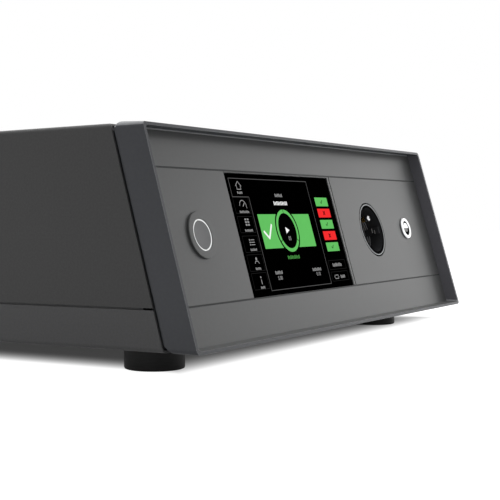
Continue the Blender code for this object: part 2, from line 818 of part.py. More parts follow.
def rear_hole(x, height, width, tall):
    margin = REAR_SHEET
    return box(
        span(x, width + 2 * SEAT_GAP),
        (REAR_INNER - margin, REAR_FACE + margin),
        span(height, tall + 2 * SEAT_GAP),
    )


def cut_rear_openings(panel):
    cut(
        panel,
        rear_hole(INLET_X, INLET_HEIGHT, INLET_BODY_WIDTH, INLET_BODY_TALL),
        rear_hole(
            INLET_X,
            SWITCH_HEIGHT,
            SWITCH_WIDTH - 2 * SWITCH_WALL,
            SWITCH_TALL - 2 * SWITCH_WALL,
        ),
        rear_hole(LAN_X, PORT_HEIGHT, LAN_SIZE[0], LAN_SIZE[2]),
        rear_hole(USB_X, PORT_HEIGHT, USB_SIZE[0], USB_SIZE[2]),
        rear_hole(IO_X, PORT_HEIGHT, IO_BODY[0], IO_BODY[2]),
    )
    reach = (REAR_INNER - REAR_SHEET, REAR_FACE + REAR_SHEET)
    stud = rod(STUD_RADIUS + SEAT_GAP, *reach)
    fan = rod(FAN_BORE_RADIUS, *reach, steps=ROUND_STEPS)
    cut(panel, shifted(stud, STUD_X, 0, INLET_HEIGHT), shifted(fan, FAN_X, 0, FAN_HEIGHT))


def plate(x_range):
    return box(x_range, (0, PLATE_THICKNESS), (PLATE_BOTTOM, PLATE_TOP))


def build_panel_plates(panel):
    left = plate((-PLATE_SIDE, TRIM_LEFT - SEAT_GAP))
    button_hole = rod(
        BUTTON_RADIUS + BARREL_WALL + 2 * SEAT_GAP,
        -PLATE_THICKNESS,
        2 * PLATE_THICKNESS,
        steps=ROUND_STEPS,
    )
    cut(left, shifted(button_hole, BUTTON_X, 0, CONTROL_ROW))
    place(left, "left_panel", "panel_paint", panel)
    right = plate((TRIM_RIGHT + GROOVE, PLATE_SIDE))
    socket_hole = rod(
        SOCKET_RADIUS + SEAT_GAP + SOCKET_RING_WIDTH + SOCKET_RING_CLEARANCE,
        -PLATE_THICKNESS,
        2 * PLATE_THICKNESS,
        steps=ROUND_STEPS,
    )
    probe_hole = rod(
        PROBE_BORE_RADIUS + PROBE_WALL + SEAT_GAP, -PLATE_THICKNESS, 2 * PLATE_THICKNESS
    )
    cut(
        right,
        shifted(socket_hole, SOCKET_X, 0, CONTROL_ROW),
        shifted(probe_hole, PROBE_X, 0, CONTROL_ROW),
    )
    place(right, "right_panel", "panel_paint", panel)


def build_display(panel):
    pocket_depth = GLASS_SETBACK + GLASS_THICKNESS + SEAT_GAP
    glass_top = PLATE_TOP - TRIM_TOP_LIP
    trim = plate((TRIM_LEFT, TRIM_RIGHT))
    pocket = box(
        (TRIM_LEFT - GROOVE, GLASS_RIGHT + SEAT_GAP),
        (-GROOVE, pocket_depth),
        (PLATE_BOTTOM - GROOVE, glass_top + SEAT_GAP),
    )
    opening_x = (GLASS_LEFT + DISPLAY_FRAME_WIDTH, GLASS_RIGHT - DISPLAY_FRAME_WIDTH)
    opening_z = (GLASS_BOTTOM + DISPLAY_FRAME_WIDTH, glass_top - DISPLAY_FRAME_WIDTH)
    opening = box(opening_x, (0, 2 * PLATE_THICKNESS), opening_z)
    cut(trim, pocket, opening)
    place(trim, "display_trim", "panel_paint", panel)
    glass = box(
        (GLASS_LEFT, GLASS_RIGHT),
        (GLASS_SETBACK, GLASS_SETBACK + GLASS_THICKNESS),
        (GLASS_BOTTOM, glass_top),
    )
    place(glass, "touch_glass", "glass_black", panel)
    flange_front = WEB_DEPTH + SEAT_GAP
    flange_rear = flange_front + LCD_DEPTH
    module = box(
        (opening_x[0] + SEAT_GAP, opening_x[1] - SEAT_GAP),
        (pocket_depth, flange_rear - LCD_DEPTH / 3),
        (opening_z[0] + SEAT_GAP, opening_z[1] - SEAT_GAP),
    )
    flange_x = (opening_x[0] - LCD_FLANGE, opening_x[1] + LCD_FLANGE)
    flange_z = (opening_z[0] - LCD_FLANGE, opening_z[1] + LCD_FLANGE)
    join(module, box(flange_x, (flange_front, flange_rear), flange_z))
    place(module, "lcd_module", "steel", panel)
    board_front = flange_rear + SEAT_GAP
    board_rear = board_front + DISPLAY_BOARD_THICKNESS
    board_x = (opening_x[0] + DISPLAY_BOARD_MARGIN, opening_x[1] - DISPLAY_BOARD_MARGIN)
    board_z = (opening_z[0] + DISPLAY_BOARD_MARGIN, opening_z[1] - DISPLAY_BOARD_MARGIN)
    board = box(board_x, (board_front, board_rear), board_z)
    pitch = (board_x[1] - board_x[0]) / (DISPLAY_CHIPS + 1)
    for index in range(DISPLAY_CHIPS):
        chip_x = span(board_x[0] + pitch * (index + 1), pitch / 2)
        chip = box(
            chip_x, (board_rear - SEAT_GAP, board_rear + CHIP_RISE), span(CONTROL_ROW, pitch / 2)
        )
        join(board, chip)
    place(board, "display_board", "board_green", panel)


def build_button(panel):
    bore = BUTTON_RADIUS + SEAT_GAP
    barrel = bore + BARREL_WALL
    floor = BARREL_LENGTH - BARREL_WALL
    bezel = turned(
        [
            (bore, -BEZEL_HEIGHT),
            (BEZEL_RADIUS - BEZEL_HEIGHT, -BEZEL_HEIGHT),
            (BEZEL_RADIUS, -BEZEL_RIM_HEIGHT),
            (BEZEL_RADIUS, -SEAT_GAP),
            (barrel, -SEAT_GAP),
            (barrel, BARREL_LENGTH),
            (STEM_RADIUS + SEAT_GAP, BARREL_LENGTH),
            (STEM_RADIUS + SEAT_GAP, floor),
            (bore, floor),
        ],
        closed=True,
    )
    place(bezel, "button_bezel", "panel_paint", panel, (BUTTON_X, 0, CONTROL_ROW))
    top = -BEZEL_HEIGHT + SEAT_GAP
    ring_inner = BUTTON_RADIUS - LIGHT_RING_WIDTH
    shoulder = top + 2 * LIGHT_RING_WIDTH
    cap = turned(
        [
            (0, top),
            (ring_inner - SEAT_GAP, top),
            (ring_inner - SEAT_GAP, shoulder),
            (BUTTON_RADIUS, shoulder),
            (BUTTON_RADIUS, shoulder + PLATE_THICKNESS),
            (STEM_RADIUS, shoulder + PLATE_THICKNESS),
            (STEM_RADIUS, floor - SEAT_GAP),
            (0, floor - SEAT_GAP),
        ]
    )
    place(cap, "button_cap", "panel_paint", panel, (BUTTON_X, 0, CONTROL_ROW))
    ring = turned(
        [
            (ring_inner, top),
            (BUTTON_RADIUS, top),
            (BUTTON_RADIUS, shoulder - SEAT_GAP),
            (ring_inner, shoulder - SEAT_GAP),
        ],
        closed=True,
    )
    place(ring, "light_ring", "light_white", panel, (BUTTON_X, 0, CONTROL_ROW))
    nut_front = PLATE_THICKNESS + SEAT_GAP
    nut = hexagon_nut(
        barrel + NUT_FLAT_MARGIN, barrel + SEAT_GAP, nut_front, nut_front + BUTTON_NUT_THICKNESS
    )
    place(nut, "button_nut", "steel", panel, (BUTTON_X, 0, CONTROL_ROW))
    block_front = BARREL_LENGTH + SEAT_GAP
    block = box(
        span(0, SWITCH_BLOCK_SIZE),
        (block_front, block_front + SWITCH_BLOCK_DEPTH),
        span(0, SWITCH_BLOCK_SIZE),
    )
    well_depth = block_front + BUTTON_STROKE * 2
    cut(block, rod(STEM_RADIUS + SEAT_GAP, block_front - SEAT_GAP, well_depth))
    place(block, "switch_block", "plastic_black", panel, (BUTTON_X, 0, CONTROL_ROW))


def build_test_socket(panel):
    centre = (SOCKET_X, 0, CONTROL_ROW)
    ring_inner = SOCKET_RADIUS + SEAT_GAP
    ring_outer = ring_inner + SOCKET_RING_WIDTH
    ring = turned(
        [
            (ring_inner, 0),
            (ring_outer, 0),
            (ring_outer, PLATE_THICKNESS),
            (ring_inner, PLATE_THICKNESS),
        ],
        closed=True,
    )
    place(ring, "test_socket_ring", "chrome", panel, centre)
    flange_front = PLATE_THICKNESS + SEAT_GAP
    flange_rear = flange_front + SOCKET_FLANGE_THICKNESS
    flange_radius = ring_outer + SOCKET_FLANGE_WIDTH
    recess_radius = SOCKET_RADIUS - SOCKET_RIM_WALL
    body = turned(
        [
            (0, SOCKET_RECESS_DEPTH),
            (recess_radius, SOCKET_RECESS_DEPTH),
            (recess_radius, SEAT_GAP),
            (recess_radius + SEAT_GAP, 0),
            (SOCKET_RADIUS, 0),
            (SOCKET_RADIUS, flange_front),
            (flange_radius, flange_front),
            (flange_radius, flange_rear),
            (SOCKET_RADIUS, flange_rear),
            (SOCKET_RADIUS, SOCKET_BODY_DEPTH),
            (0, SOCKET_BODY_DEPTH),
        ]
    )
    for sign in (-1, 1):
        key_inner = recess_radius - SOCKET_KEY_HEIGHT
        key_x = sorted((sign * key_inner, sign * (SOCKET_RADIUS - SEAT_GAP)))
        key_y = (SOCKET_KEY_HEIGHT, SOCKET_RECESS_DEPTH + SEAT_GAP)
        join(body, box(key_x, key_y, span(0, SOCKET_KEY_WIDTH)))
    sleeve_radius = CONTACT_HOLE_RADIUS + SEAT_GAP
    sleeve_front = SOCKET_RECESS_DEPTH + SOCKET_FLOOR
    for name, sign in (("line", -1), ("neutral", 1)):
        x = sign * CONTACT_SPACING / 2
        hole = turned(
            [
                (0, SOCKET_RECESS_DEPTH - SOCKET_FLOOR),
                (CONTACT_HOLE_RADIUS, SOCKET_RECESS_DEPTH - SOCKET_FLOOR),
                (CONTACT_HOLE_RADIUS, sleeve_front),
                (sleeve_radius + SEAT_GAP, sleeve_front),
                (sleeve_radius + SEAT_GAP, SOCKET_BODY_DEPTH * 2),
                (0, SOCKET_BODY_DEPTH * 2),
            ],
            steps=SMALL_ROUND_STEPS,
        )
        cut(body, shifted(hole, x, 0, 0))
        bore = sleeve_radius - CONTACT_SLEEVE_WALL
        sleeve = turned(
            [
                (bore, sleeve_front + SEAT_GAP),
                (sleeve_radius, sleeve_front + SEAT_GAP),
                (sleeve_radius, SOCKET_BODY_DEPTH + CONTACT_TAIL),
                (bore, SOCKET_BODY_DEPTH + CONTACT_TAIL),
            ],
            closed=True,
            steps=SMALL_ROUND_STEPS,
        )
        place(sleeve, f"contact_{name}", "brass", panel, (SOCKET_X + x, 0, CONTROL_ROW))
    pin_hole_front = SOCKET_RECESS_DEPTH - SOCKET_FLOOR
    pin_hole = rod(EARTH_PIN_RADIUS + SEAT_GAP, pin_hole_front, SOCKET_BODY_DEPTH * 2)
    cut(body, shifted(pin_hole, 0, 0, EARTH_PIN_RISE))
    place(body, "test_socket_body", "plastic_black", panel, centre)
    pin_end = SOCKET_BODY_DEPTH + CONTACT_TAIL
    dome = [
        (EARTH_PIN_RADIUS * math.sin(turn), EARTH_PIN_TIP * (1 - math.cos(turn)))
        for turn in (math.pi / 2 * step / DOME_STEPS for step in range(DOME_STEPS + 1))
    ]
    pin = turned([*dome, (EARTH_PIN_RADIUS, pin_end), (0, pin_end)], steps=SMALL_ROUND_STEPS)
    place(pin, "earth_pin", "chrome", panel, (SOCKET_X, 0, CONTROL_ROW + EARTH_PIN_RISE))


def build_probe_socket(panel):
    centre = (PROBE_X, 0, CONTROL_ROW)
    barrel = PROBE_BORE_RADIUS + PROBE_WALL
    rim = -PROBE_FLANGE_HEIGHT
    shell = turned(
        [
            (PROBE_BORE_RADIUS, rim + SEAT_GAP),
            (PROBE_BORE_RADIUS + SEAT_GAP, rim),
            (PROBE_FLANGE_RADIUS - 2 * SEAT_GAP, rim),
            (PROBE_FLANGE_RADIUS, rim + 2 * SEAT_GAP),
            (PROBE_FLANGE_RADIUS, -SEAT_GAP),
            (barrel, -SEAT_GAP),
            (barrel, PROBE_LENGTH),
            (PROBE_BORE_RADIUS, PROBE_LENGTH),
        ],
        closed=True,
    )
    place(shell, "probe_socket_shell", "chrome", panel, centre)
    insert = rod(PROBE_INSERT_RADIUS, 0, PROBE_LENGTH - SEAT_GAP, steps=ROUND_STEPS)
    upper = box((-barrel, barrel), (-barrel, PROBE_INSERT_STEP), (0, barrel))
    cut(insert, upper)
    rear = turned(
        [
            (0, PROBE_LENGTH / 2),
            (PROBE_BORE_RADIUS - SEAT_GAP, PROBE_LENGTH / 2),
            (PROBE_BORE_RADIUS - SEAT_GAP, PROBE_LENGTH - 2 * SEAT_GAP),
            (0, PROBE_LENGTH - 2 * SEAT_GAP),
        ]
    )
    join(insert, rear)
    for name, sign in (("left", -1), ("right", 1)):
        x = sign * PROBE_PIN_SPACING / 2
        hole_radius = PROBE_PIN_RADIUS + SEAT_GAP
        hole = rod(hole_radius, -PROBE_LENGTH, 2 * PROBE_LENGTH, TINY_ROUND_STEPS)
        cut(insert, shifted(hole, x, 0, PROBE_PIN_RISE))
        pin = rod(PROBE_PIN_RADIUS, PROBE_PIN_SETBACK, PROBE_LENGTH, TINY_ROUND_STEPS)
        pin_place = (PROBE_X + x, 0, CONTROL_ROW + PROBE_PIN_RISE)
        place(pin, f"probe_pin_{name}", "chrome", panel, pin_place)
    place(insert, "probe_socket_insert", "plastic_white", panel, centre)
    nut_front = PLATE_THICKNESS + SEAT_GAP
    nut = hexagon_nut(
        barrel + NUT_FLAT_MARGIN, barrel + SEAT_GAP, nut_front, nut_front + PROBE_NUT_THICKNESS
    )
    place(nut, "probe_socket_nut", "steel", panel, centre)


def build_inlet(rear):
    body = prism(
        rounded_rectangle(span(0, INLET_WIDTH), span(0, INLET_TALL), COVER_CORNER_RADIUS),
        "Y",
        SEAT_GAP,
        SEAT_GAP + INLET_FLANGE,
    )
    shell = box(
        span(0, INLET_BODY_WIDTH),
        (-INLET_BODY_DEPTH, SEAT_GAP + INLET_FLANGE / 2),
        span(0, INLET_BODY_TALL),
    )
    join(body, shell)
    face = SEAT_GAP + INLET_FLANGE
    mouth_x = INLET_MOUTH_WIDTH / 2
    low = INLET_MOUTH_RISE - INLET_MOUTH_TALL / 2
    high = INLET_MOUTH_RISE + INLET_MOUTH_TALL / 2
    mouth = [
        (-mouth_x, low),
        (mouth_x, low),
        (mouth_x, high - INLET_CORNER_CUT),
        (mouth_x - INLET_CORNER_CUT, high),
        (-mouth_x + INLET_CORNER_CUT, high),
        (-mouth_x, high - INLET_CORNER_CUT),
    ]
    mouth_floor = face - INLET_MOUTH_DEPTH
    cut(body, prism(mouth, "Y", mouth_floor, face + INLET_FLANGE))
    for x, rise in ((-PIN_SPACING, 0), (0, PIN_EARTH_OFFSET), (PIN_SPACING, 0)):
        blade = box(
            span(x, PIN_THICKNESS),
            (mouth_floor - PIN_THICKNESS, mouth_floor + PIN_LENGTH),
            span(INLET_MOUTH_RISE - PIN_ROW_DROP + rise, PIN_WIDTH),
        )
        join(body, blade)
    slot = box(
        span(0, DRAWER_WIDTH + 2 * SEAT_GAP),
        (face - DRAWER_DEPTH - SEAT_GAP, face + INLET_FLANGE),
        span(-DRAWER_DROP, DRAWER_TALL + 2 * SEAT_GAP),
    )
    cut(body, slot)
    place(body, "inlet_body", "plastic_black", rear, (INLET_X, 0, INLET_HEIGHT))
    drawer = box(span(0, DRAWER_WIDTH), (-DRAWER_DEPTH, DRAWER_FACE), span(0, DRAWER_TALL))
    bay = box(
        span(0, DRAWER_WIDTH - 4 * DRAWER_FACE),
        (-DRAWER_DEPTH + DRAWER_FACE, -2 * DRAWER_FACE),
        (-DRAWER_TALL / 2 + DRAWER_FACE, DRAWER_TALL),
    )
    grip = box(
        span(0, DRAWER_WIDTH / 3),
        (-DRAWER_FACE / 2, DRAWER_FACE * 2),
        span(-DRAWER_TALL / 4, DRAWER_FACE),
    )
    cut(drawer, bay, grip)
    drawer_place = (INLET_X, face, INLET_HEIGHT - DRAWER_DROP)
    place(drawer, "fuse_drawer", "plastic_black", rear, drawer_place)


def build_mains_switch(rear):
    hood = box(
        span(0, SWITCH_WIDTH), (SEAT_GAP, SEAT_GAP + SWITCH_FLANGE), span(0, SWITCH_TALL)
    )
    shell = box(
        span(0, SWITCH_WIDTH - 2 * SWITCH_WALL),
        (-SWITCH_BODY_DEPTH, SEAT_GAP + SWITCH_FLANGE / 2),
        span(0, SWITCH_TALL - 2 * SWITCH_WALL),
    )
    join(hood, shell)
    well = box(
        span(0, SWITCH_WELL_WIDTH),
        (-SWITCH_BODY_DEPTH + SWITCH_WALL, SWITCH_FLANGE * 4),
        span(0, SWITCH_WELL_TALL),
    )
    cut(hood, well)
    place(hood, "switch_frame", "plastic_black", rear, (INLET_X, 0, SWITCH_HEIGHT))
    reach = SWITCH_WELL_TALL / 2 - ROCKER_CLEARANCE
    peak = reach * math.tan(ROCKER_TILT)
    rise = ROCKER_PIVOT_DEPTH + ROCKER_RISE
    outline = [
        (-reach, rise + peak),
        (0, rise),
        (reach, rise + peak),
    ]
    for step in range(1, ROCKER_STEPS):
        angle = math.pi * step / ROCKER_STEPS
        outline.append((reach * math.cos(angle), -reach * math.sin(angle)))
    side_view = [(depth, height) for height, depth in outline]
    rocker = prism(side_view, "X", *span(0, SWITCH_WELL_WIDTH - 2 * ROCKER_CLEARANCE))
    pivot = rod(ROCKER_PIVOT_RADIUS, *span(0, SWITCH_WELL_WIDTH - 2 * SEAT_GAP))
    join(rocker, moved(pivot, Matrix.Rotation(math.pi / 2, 4, "Z")))
    moved(rocker, Matrix.Rotation(ROCKER_TILT, 4, "X"))
    pivot_place = (INLET_X, -ROCKER_PIVOT_DEPTH, SWITCH_HEIGHT)
    place(rocker, "mains_rocker", "plastic_black", rear, pivot_place)


def build_earth_stud(rear):
    inner = -REAR_SHEET - SEAT_GAP
    end = inner - STUD_FLANGE + STUD_LENGTH
    stud = turned(
        [
            (0, inner - STUD_FLANGE),
            (STUD_FLANGE_RADIUS, inner - STUD_FLANGE),
            (STUD_FLANGE_RADIUS, inner),
            (STUD_RADIUS, inner),
            (STUD_RADIUS, end - STUD_TIP),
            (STUD_RADIUS - STUD_TIP, end),
            (0, end),
        ],
        steps=SMALL_ROUND_STEPS,
    )
    place(stud, "earth_stud", "brass", rear, (STUD_X, 0, INLET_HEIGHT))
    nut = hexagon_nut(
        STUD_FLANGE_RADIUS, STUD_RADIUS + SEAT_GAP, SEAT_GAP, SEAT_GAP + STUD_NUT_THICKNESS
    )
    place(nut, "earth_nut", "brass", rear, (STUD_X, 0, INLET_HEIGHT))


def build_ports(rear):
    for name, x, size, wall in (
        ("lan_port", LAN_X, LAN_SIZE, LAN_WALL),
        ("usb_port", USB_X, USB_SIZE, USB_WALL),
    ):
        shell = box(span(0, size[0]), (PORT_REACH - size[1], PORT_REACH), span(0, size[2]))
        mouth = box(
            span(0, size[0] - 2 * wall),
            (PORT_REACH - size[1] + wall, PORT_REACH + wall),
            span(0, size[2] - 2 * wall),
        )
        cut(shell, mouth)
        place(shell, name, "steel", rear, (x, 0, PORT_HEIGHT))
    narrow = IO_SHELL[1] * math.tan(IO_TAPER)

    def d_outline(grow):
        half_x = IO_SHELL[0] / 2 + grow
        half_z = IO_SHELL[1] / 2 + grow
        return filleted(
            [
                (-half_x + narrow, -half_z, narrow),
                (half_x - narrow, -half_z, narrow),
                (half_x, half_z, narrow),
                (-half_x, half_z, narrow),
            ],
            steps=CONNECTOR_STEPS,
        )

    flange = box(span(0, IO_FLANGE[0]), (SEAT_GAP, SEAT_GAP + IO_FLANGE[1]), span(0, IO_FLANGE[2]))
    body = box(span(0, IO_BODY[0]), (-IO_BODY[1], SEAT_GAP + IO_FLANGE[1] / 2), span(0, IO_BODY[2]))
    join(flange, body, prism(d_outline(0), "Y", 0, IO_REACH))
    cut(flange, prism(d_outline(-IO_SHELL_WALL), "Y", IO_FLANGE[1], IO_REACH * 2))
    place(flange, "io_connector", "steel", rear, (IO_X, 0, PORT_HEIGHT))


def blade(index):
    """One fan blade: a thin sheet whose pitch flattens from the hub to the tip."""
    shape = bmesh.new()
    rows = BLADE_ROWS
    columns = BLADE_COLUMNS
    start = FAN_HUB_RADIUS - FAN_BLADE_THICKNESS
    turn = math.tau * index / FAN_BLADES
    sheets = []
    for side in (-0.5, 0.5):
        grid = []
        for row in range(rows + 1):
            share = row / rows
            radius = start + (FAN_TIP_RADIUS - start) * share
            pitch = FAN_ROOT_PITCH + (FAN_TIP_PITCH - FAN_ROOT_PITCH) * share
            chord = FAN_ROOT_CHORD + (FAN_TIP_CHORD - FAN_ROOT_CHORD) * share
            line = []
            for column in range(columns + 1):
                along = chord * (column / columns - 0.5)
                angle = turn + along * math.cos(pitch) / radius
                depth = along * math.sin(pitch) + side * FAN_BLADE_THICKNESS
                line.append(
                    shape.verts.new((radius * math.cos(angle), depth, radius * math.sin(angle)))
                )
            grid.append(line)
        sheets.append(grid)
    low, high = sheets
    for grid in sheets:
        for row in range(rows):
            for column in range(columns):
                shape.faces.new(
                    (
                        grid[row][column],
                        grid[row][column + 1],
                        grid[row + 1][column + 1],
                        grid[row + 1][column],
                    )
                )
    border = [(0, column) for column in range(columns)]
    border += [(row, columns) for row in range(rows)]
    border += [(rows, column) for column in range(columns, 0, -1)]
    border += [(row, 0) for row in range(rows, 0, -1)]
    for this, following in zip(border, border[1:] + border[:1]):
        shape.faces.new(
            (
                low[this[0]][this[1]],
                low[following[0]][following[1]],
                high[following[0]][following[1]],
                high[this[0]][this[1]],
            )
        )
    return loose_object(shape)


def wire_ring(radius, wire):
    turns = [math.tau * side / WIRE_SIDES for side in range(WIRE_SIDES)]
    profile = [(radius + wire * math.cos(turn), wire * math.sin(turn)) for turn in turns]
    return turned(profile, closed=True, steps=WIRE_STEPS)


def build_fan(rear):
    place_at = (FAN_X, 0, FAN_HEIGHT)
    outer_face = -REAR_SHEET - SEAT_GAP
    inner_face = outer_face - FAN_DEPTH
    frame = prism(
        rounded_rectangle(span(0, FAN_SIZE), span(0, FAN_SIZE), FAN_CORNER_RADIUS),
        "Y",
        inner_face,
        outer_face,
    )
    bore = rod(FAN_BORE_RADIUS, inner_face - REAR_SHEET, outer_face + REAR_SHEET, ROUND_STEPS)
    cut(frame, bore)
    spider = rod(FAN_HUB_RADIUS, inner_face, inner_face + FAN_SPIDER_DEPTH, ROUND_STEPS)
    for arm in range(FAN_SPIDER_ARMS):
        strut = box(
            (0, FAN_BORE_RADIUS + FAN_BLADE_THICKNESS),
            (inner_face, inner_face + FAN_SPIDER_DEPTH / 2),
            span(0, FAN_SPIDER_WIDTH),
        )
        turn = FAN_SPIDER_TURN + math.tau * arm / FAN_SPIDER_ARMS
        moved(strut, Matrix.Rotation(turn, 4, "Y"))
        join(spider, strut)
    join(frame, spider)
    half_spacing = GUARD_HOLE_SPACING / 2
    corners = [(x, z) for x in (-half_spacing, half_spacing) for z in (-half_spacing, half_spacing)]
    for x, z in corners:
        hole = rod(SCREW_RADIUS, inner_face - SHEET, outer_face + SHEET, TINY_ROUND_STEPS)
        cut(frame, shifted(hole, x, 0, z))
    place(frame, "fan_frame", "plastic_black", rear, place_at)

    hub_start = inner_face + FAN_SPIDER_DEPTH + SEAT_GAP
    middle = hub_start + FAN_HUB_DEPTH / 2
    rotor = rod(FAN_HUB_RADIUS, hub_start - middle, hub_start + FAN_HUB_DEPTH - middle, ROUND_STEPS)
    for index in range(FAN_BLADES):
        join(rotor, blade(index))
    place(rotor, "fan_rotor", "plastic_black", rear, (FAN_X, middle, FAN_HEIGHT))

    ring_step = (FAN_BORE_RADIUS - GUARD_WIRE_RADIUS) / GUARD_RINGS
    guard = wire_ring(ring_step, GUARD_WIRE_RADIUS)
    for index in range(1, GUARD_RINGS):
        join(guard, wire_ring(ring_step * (index + 1), GUARD_WIRE_RADIUS))
    for x, z in corners:
        reach = math.hypot(x, z)
        thickness = span(0, GUARD_SPOKE_THICKNESS)
        spoke = box((ring_step / 2, reach), thickness, thickness)
        moved(spoke, Matrix.Rotation(-math.atan2(z, x), 4, "Y"))
        eye_radius = SCREW_RADIUS + 2 * GUARD_WIRE_RADIUS
        eye = rod(eye_radius, -GUARD_WIRE_RADIUS, GUARD_WIRE_RADIUS, TINY_ROUND_STEPS)
        join(guard, spoke, shifted(eye, x, 0, z))
        hole = rod(SCREW_RADIUS, -REAR_SHEET, REAR_SHEET, TINY_ROUND_STEPS)
        cut(guard, shifted(hole, x, 0, z))
    hub = rod(ring_step, *span(0, GUARD_HUB_THICKNESS), WIRE_STEPS)
    join(guard, hub)
    guard_place = (FAN_X, SEAT_GAP + GUARD_WIRE_RADIUS, FAN_HEIGHT)
    place(guard, "fan_guard", "chrome", rear, guard_place)


def build_main_board(case):
    low = SHEET + STANDOFF_HEIGHT + SEAT_GAP
    x_range, y_range = board_ranges()
    board_width = x_range[1] - x_range[0]
    board_length = y_range[1] - y_range[0]
    board = box(x_range, y_range, (low, low + BOARD_THICKNESS))
    top = low + BOARD_THICKNESS
    step_x = board_width / (BOARD_CHIP_ROWS + 1)
    step_y = board_length / (BOARD_CHIP_ROWS + 1)
    for column in range(1, BOARD_CHIP_ROWS + 1):
        for row in range(1, BOARD_CHIP_ROWS + 1):
            chip = box(
                span(x_range[0] + step_x * column, step_x * (CHIP_SHARE + CHIP_GROWTH * row)),
                span(y_range[0] + step_y * row, step_y * (CHIP_SHARE + CHIP_GROWTH * column)),
                (top - BOARD_THICKNESS / 2, top + CHIP_RISE * column),
            )
            join(board, chip)
    place(board, "main_board", "board_green", case)


def build_transformer(case):
    width, depth = room_size(CORE_SIZE_SHARE)
    height = CORE_HEIGHT
    low = FLOOR
    x, y = room_place(CORE_PLACE_SHARE)
    core = box(span(0, width), span(0, depth), (0, height))
    limb = width * CORE_LIMB_SHARE
    window_x = (width - 4 * limb) / 2
    window_low = limb
    window_high = height - limb
    for sign in (-1, 1):
        middle = sign * (limb + window_x / 2)
        cut(core, box(span(middle, window_x), (-depth, depth), (window_low, window_high)))
    place(core, "transformer_core", "core_steel", case, (x, y, low))
    inner_x = limb + COIL_MARGIN
    inner_y = depth / 2 + COIL_MARGIN
    wall = window_x - 2 * COIL_MARGIN
    outer = rounded_rectangle(
        (-inner_x - wall, inner_x + wall), (-inner_y - wall, inner_y + wall), wall / 3
    )
    coil = prism(outer, "Z", window_low + COIL_MARGIN, window_high - COIL_MARGIN)
    cut(coil, box((-inner_x, inner_x), (-inner_y, inner_y), (0, height)))
    place(coil, "transformer_coil", "copper", case, (x, y, low))


def build_supply(case):
    width, depth = room_size(SUPPLY_SIZE_SHARE)
    height = SUPPLY_HEIGHT
    supply = box(span(0, width), span(0, depth), (0, height))
    pitch = depth / (SUPPLY_SLOTS + 1)
    for index in range(SUPPLY_SLOTS):
        middle = pitch * (index + 1) - depth / 2
        slot = box(
            span(0, width * SUPPLY_SLOT_SHARE),
            span(middle, SUPPLY_RIB * 2),
            (height - SUPPLY_RIB, height * 2),
        )
        cut(supply, slot)
    place(supply, "power_supply", "aluminium", case, (*room_place(SUPPLY_PLACE_SHARE), FLOOR))


def build_high_voltage_module(case):
    width, depth = room_size(MODULE_SIZE_SHARE)
    height = MODULE_HEIGHT
    module = prism(
        rounded_rectangle(span(0, width), span(0, depth), COVER_CORNER_RADIUS), "Z", 0, height
    )
    for x in (-width / 4, width / 4):
        stud = upright(rod(MODULE_STUD_RADIUS, height / 2, height + MODULE_STUD_HEIGHT))
        join(module, shifted(stud, x, 0, 0))
    module_place = (*room_place(MODULE_PLACE_SHARE), FLOOR)
    place(module, "high_voltage_module", "plastic_black", case, module_place)


def build_heat_sink(case):
    width, depth = room_size(SINK_SIZE_SHARE)
    height = SINK_HEIGHT
    outline = [(-width / 2, 0), (width / 2, 0)]
    pitch = (width - SINK_FIN_THICKNESS) / (SINK_FINS - 1)
    for fin in reversed(range(SINK_FINS)):
        left = -width / 2 + fin * pitch
        right = left + SINK_FIN_THICKNESS
        if fin < SINK_FINS - 1:
            outline.append((right, SINK_BASE))
        outline += [(right, height), (left, height)]
        if fin > 0:
            outline.append((left, SINK_BASE))
    place(
        prism(outline, "Y", -depth / 2, depth / 2),
        "heat_sink",
        "aluminium",
        case,
        (*room_place(SINK_PLACE_SHARE), FLOOR),
    )


def build_tester():
    clear_scene()
    case = add_datum("case_datum", (0, -DEPTH / 2, FOOT_HEIGHT))
    panel = add_datum("panel_datum", (0, FRONT_RECESS, 0), -SLANT, case)
    rear = add_datum("rear_datum", (0, REAR_FACE, 0), 0.0, case)
    build_front_frame(case)
    build_top_cover(case)
    build_base_tray(case)
    build_feet(case)
    build_rails_and_rear_panel(case)
    build_panel_plates(panel)
    build_display(panel)
    build_button(panel)
    build_test_socket(panel)
    build_probe_socket(panel)
    build_inlet(rear)
    build_mains_switch(rear)
    build_earth_stud(rear)
    build_ports(rear)
    build_fan(rear)
    build_main_board(case)
    build_transformer(case)
    build_supply(case)
    build_high_voltage_module(case)
    build_heat_sink(case)


MATERIALS = {name: make_material(name) for name in PALETTE}
build_tester()
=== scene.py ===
"""A bench high-voltage safety tester with a leaning front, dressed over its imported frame.

The frame gives every place. Sizes here are in millimetres and are turned to metres where a mesh is
made. Pieces of the front are built in the panel's own plane: x from the middle, y into the panel,
z up its slope. All others are built in the room's axes.
"""
import logging
import math
from dataclasses import dataclass, field, replace
from enum import Enum
from typing import Iterable, Optional, Sequence

import bmesh
import bpy
from mathutils import Matrix, Vector


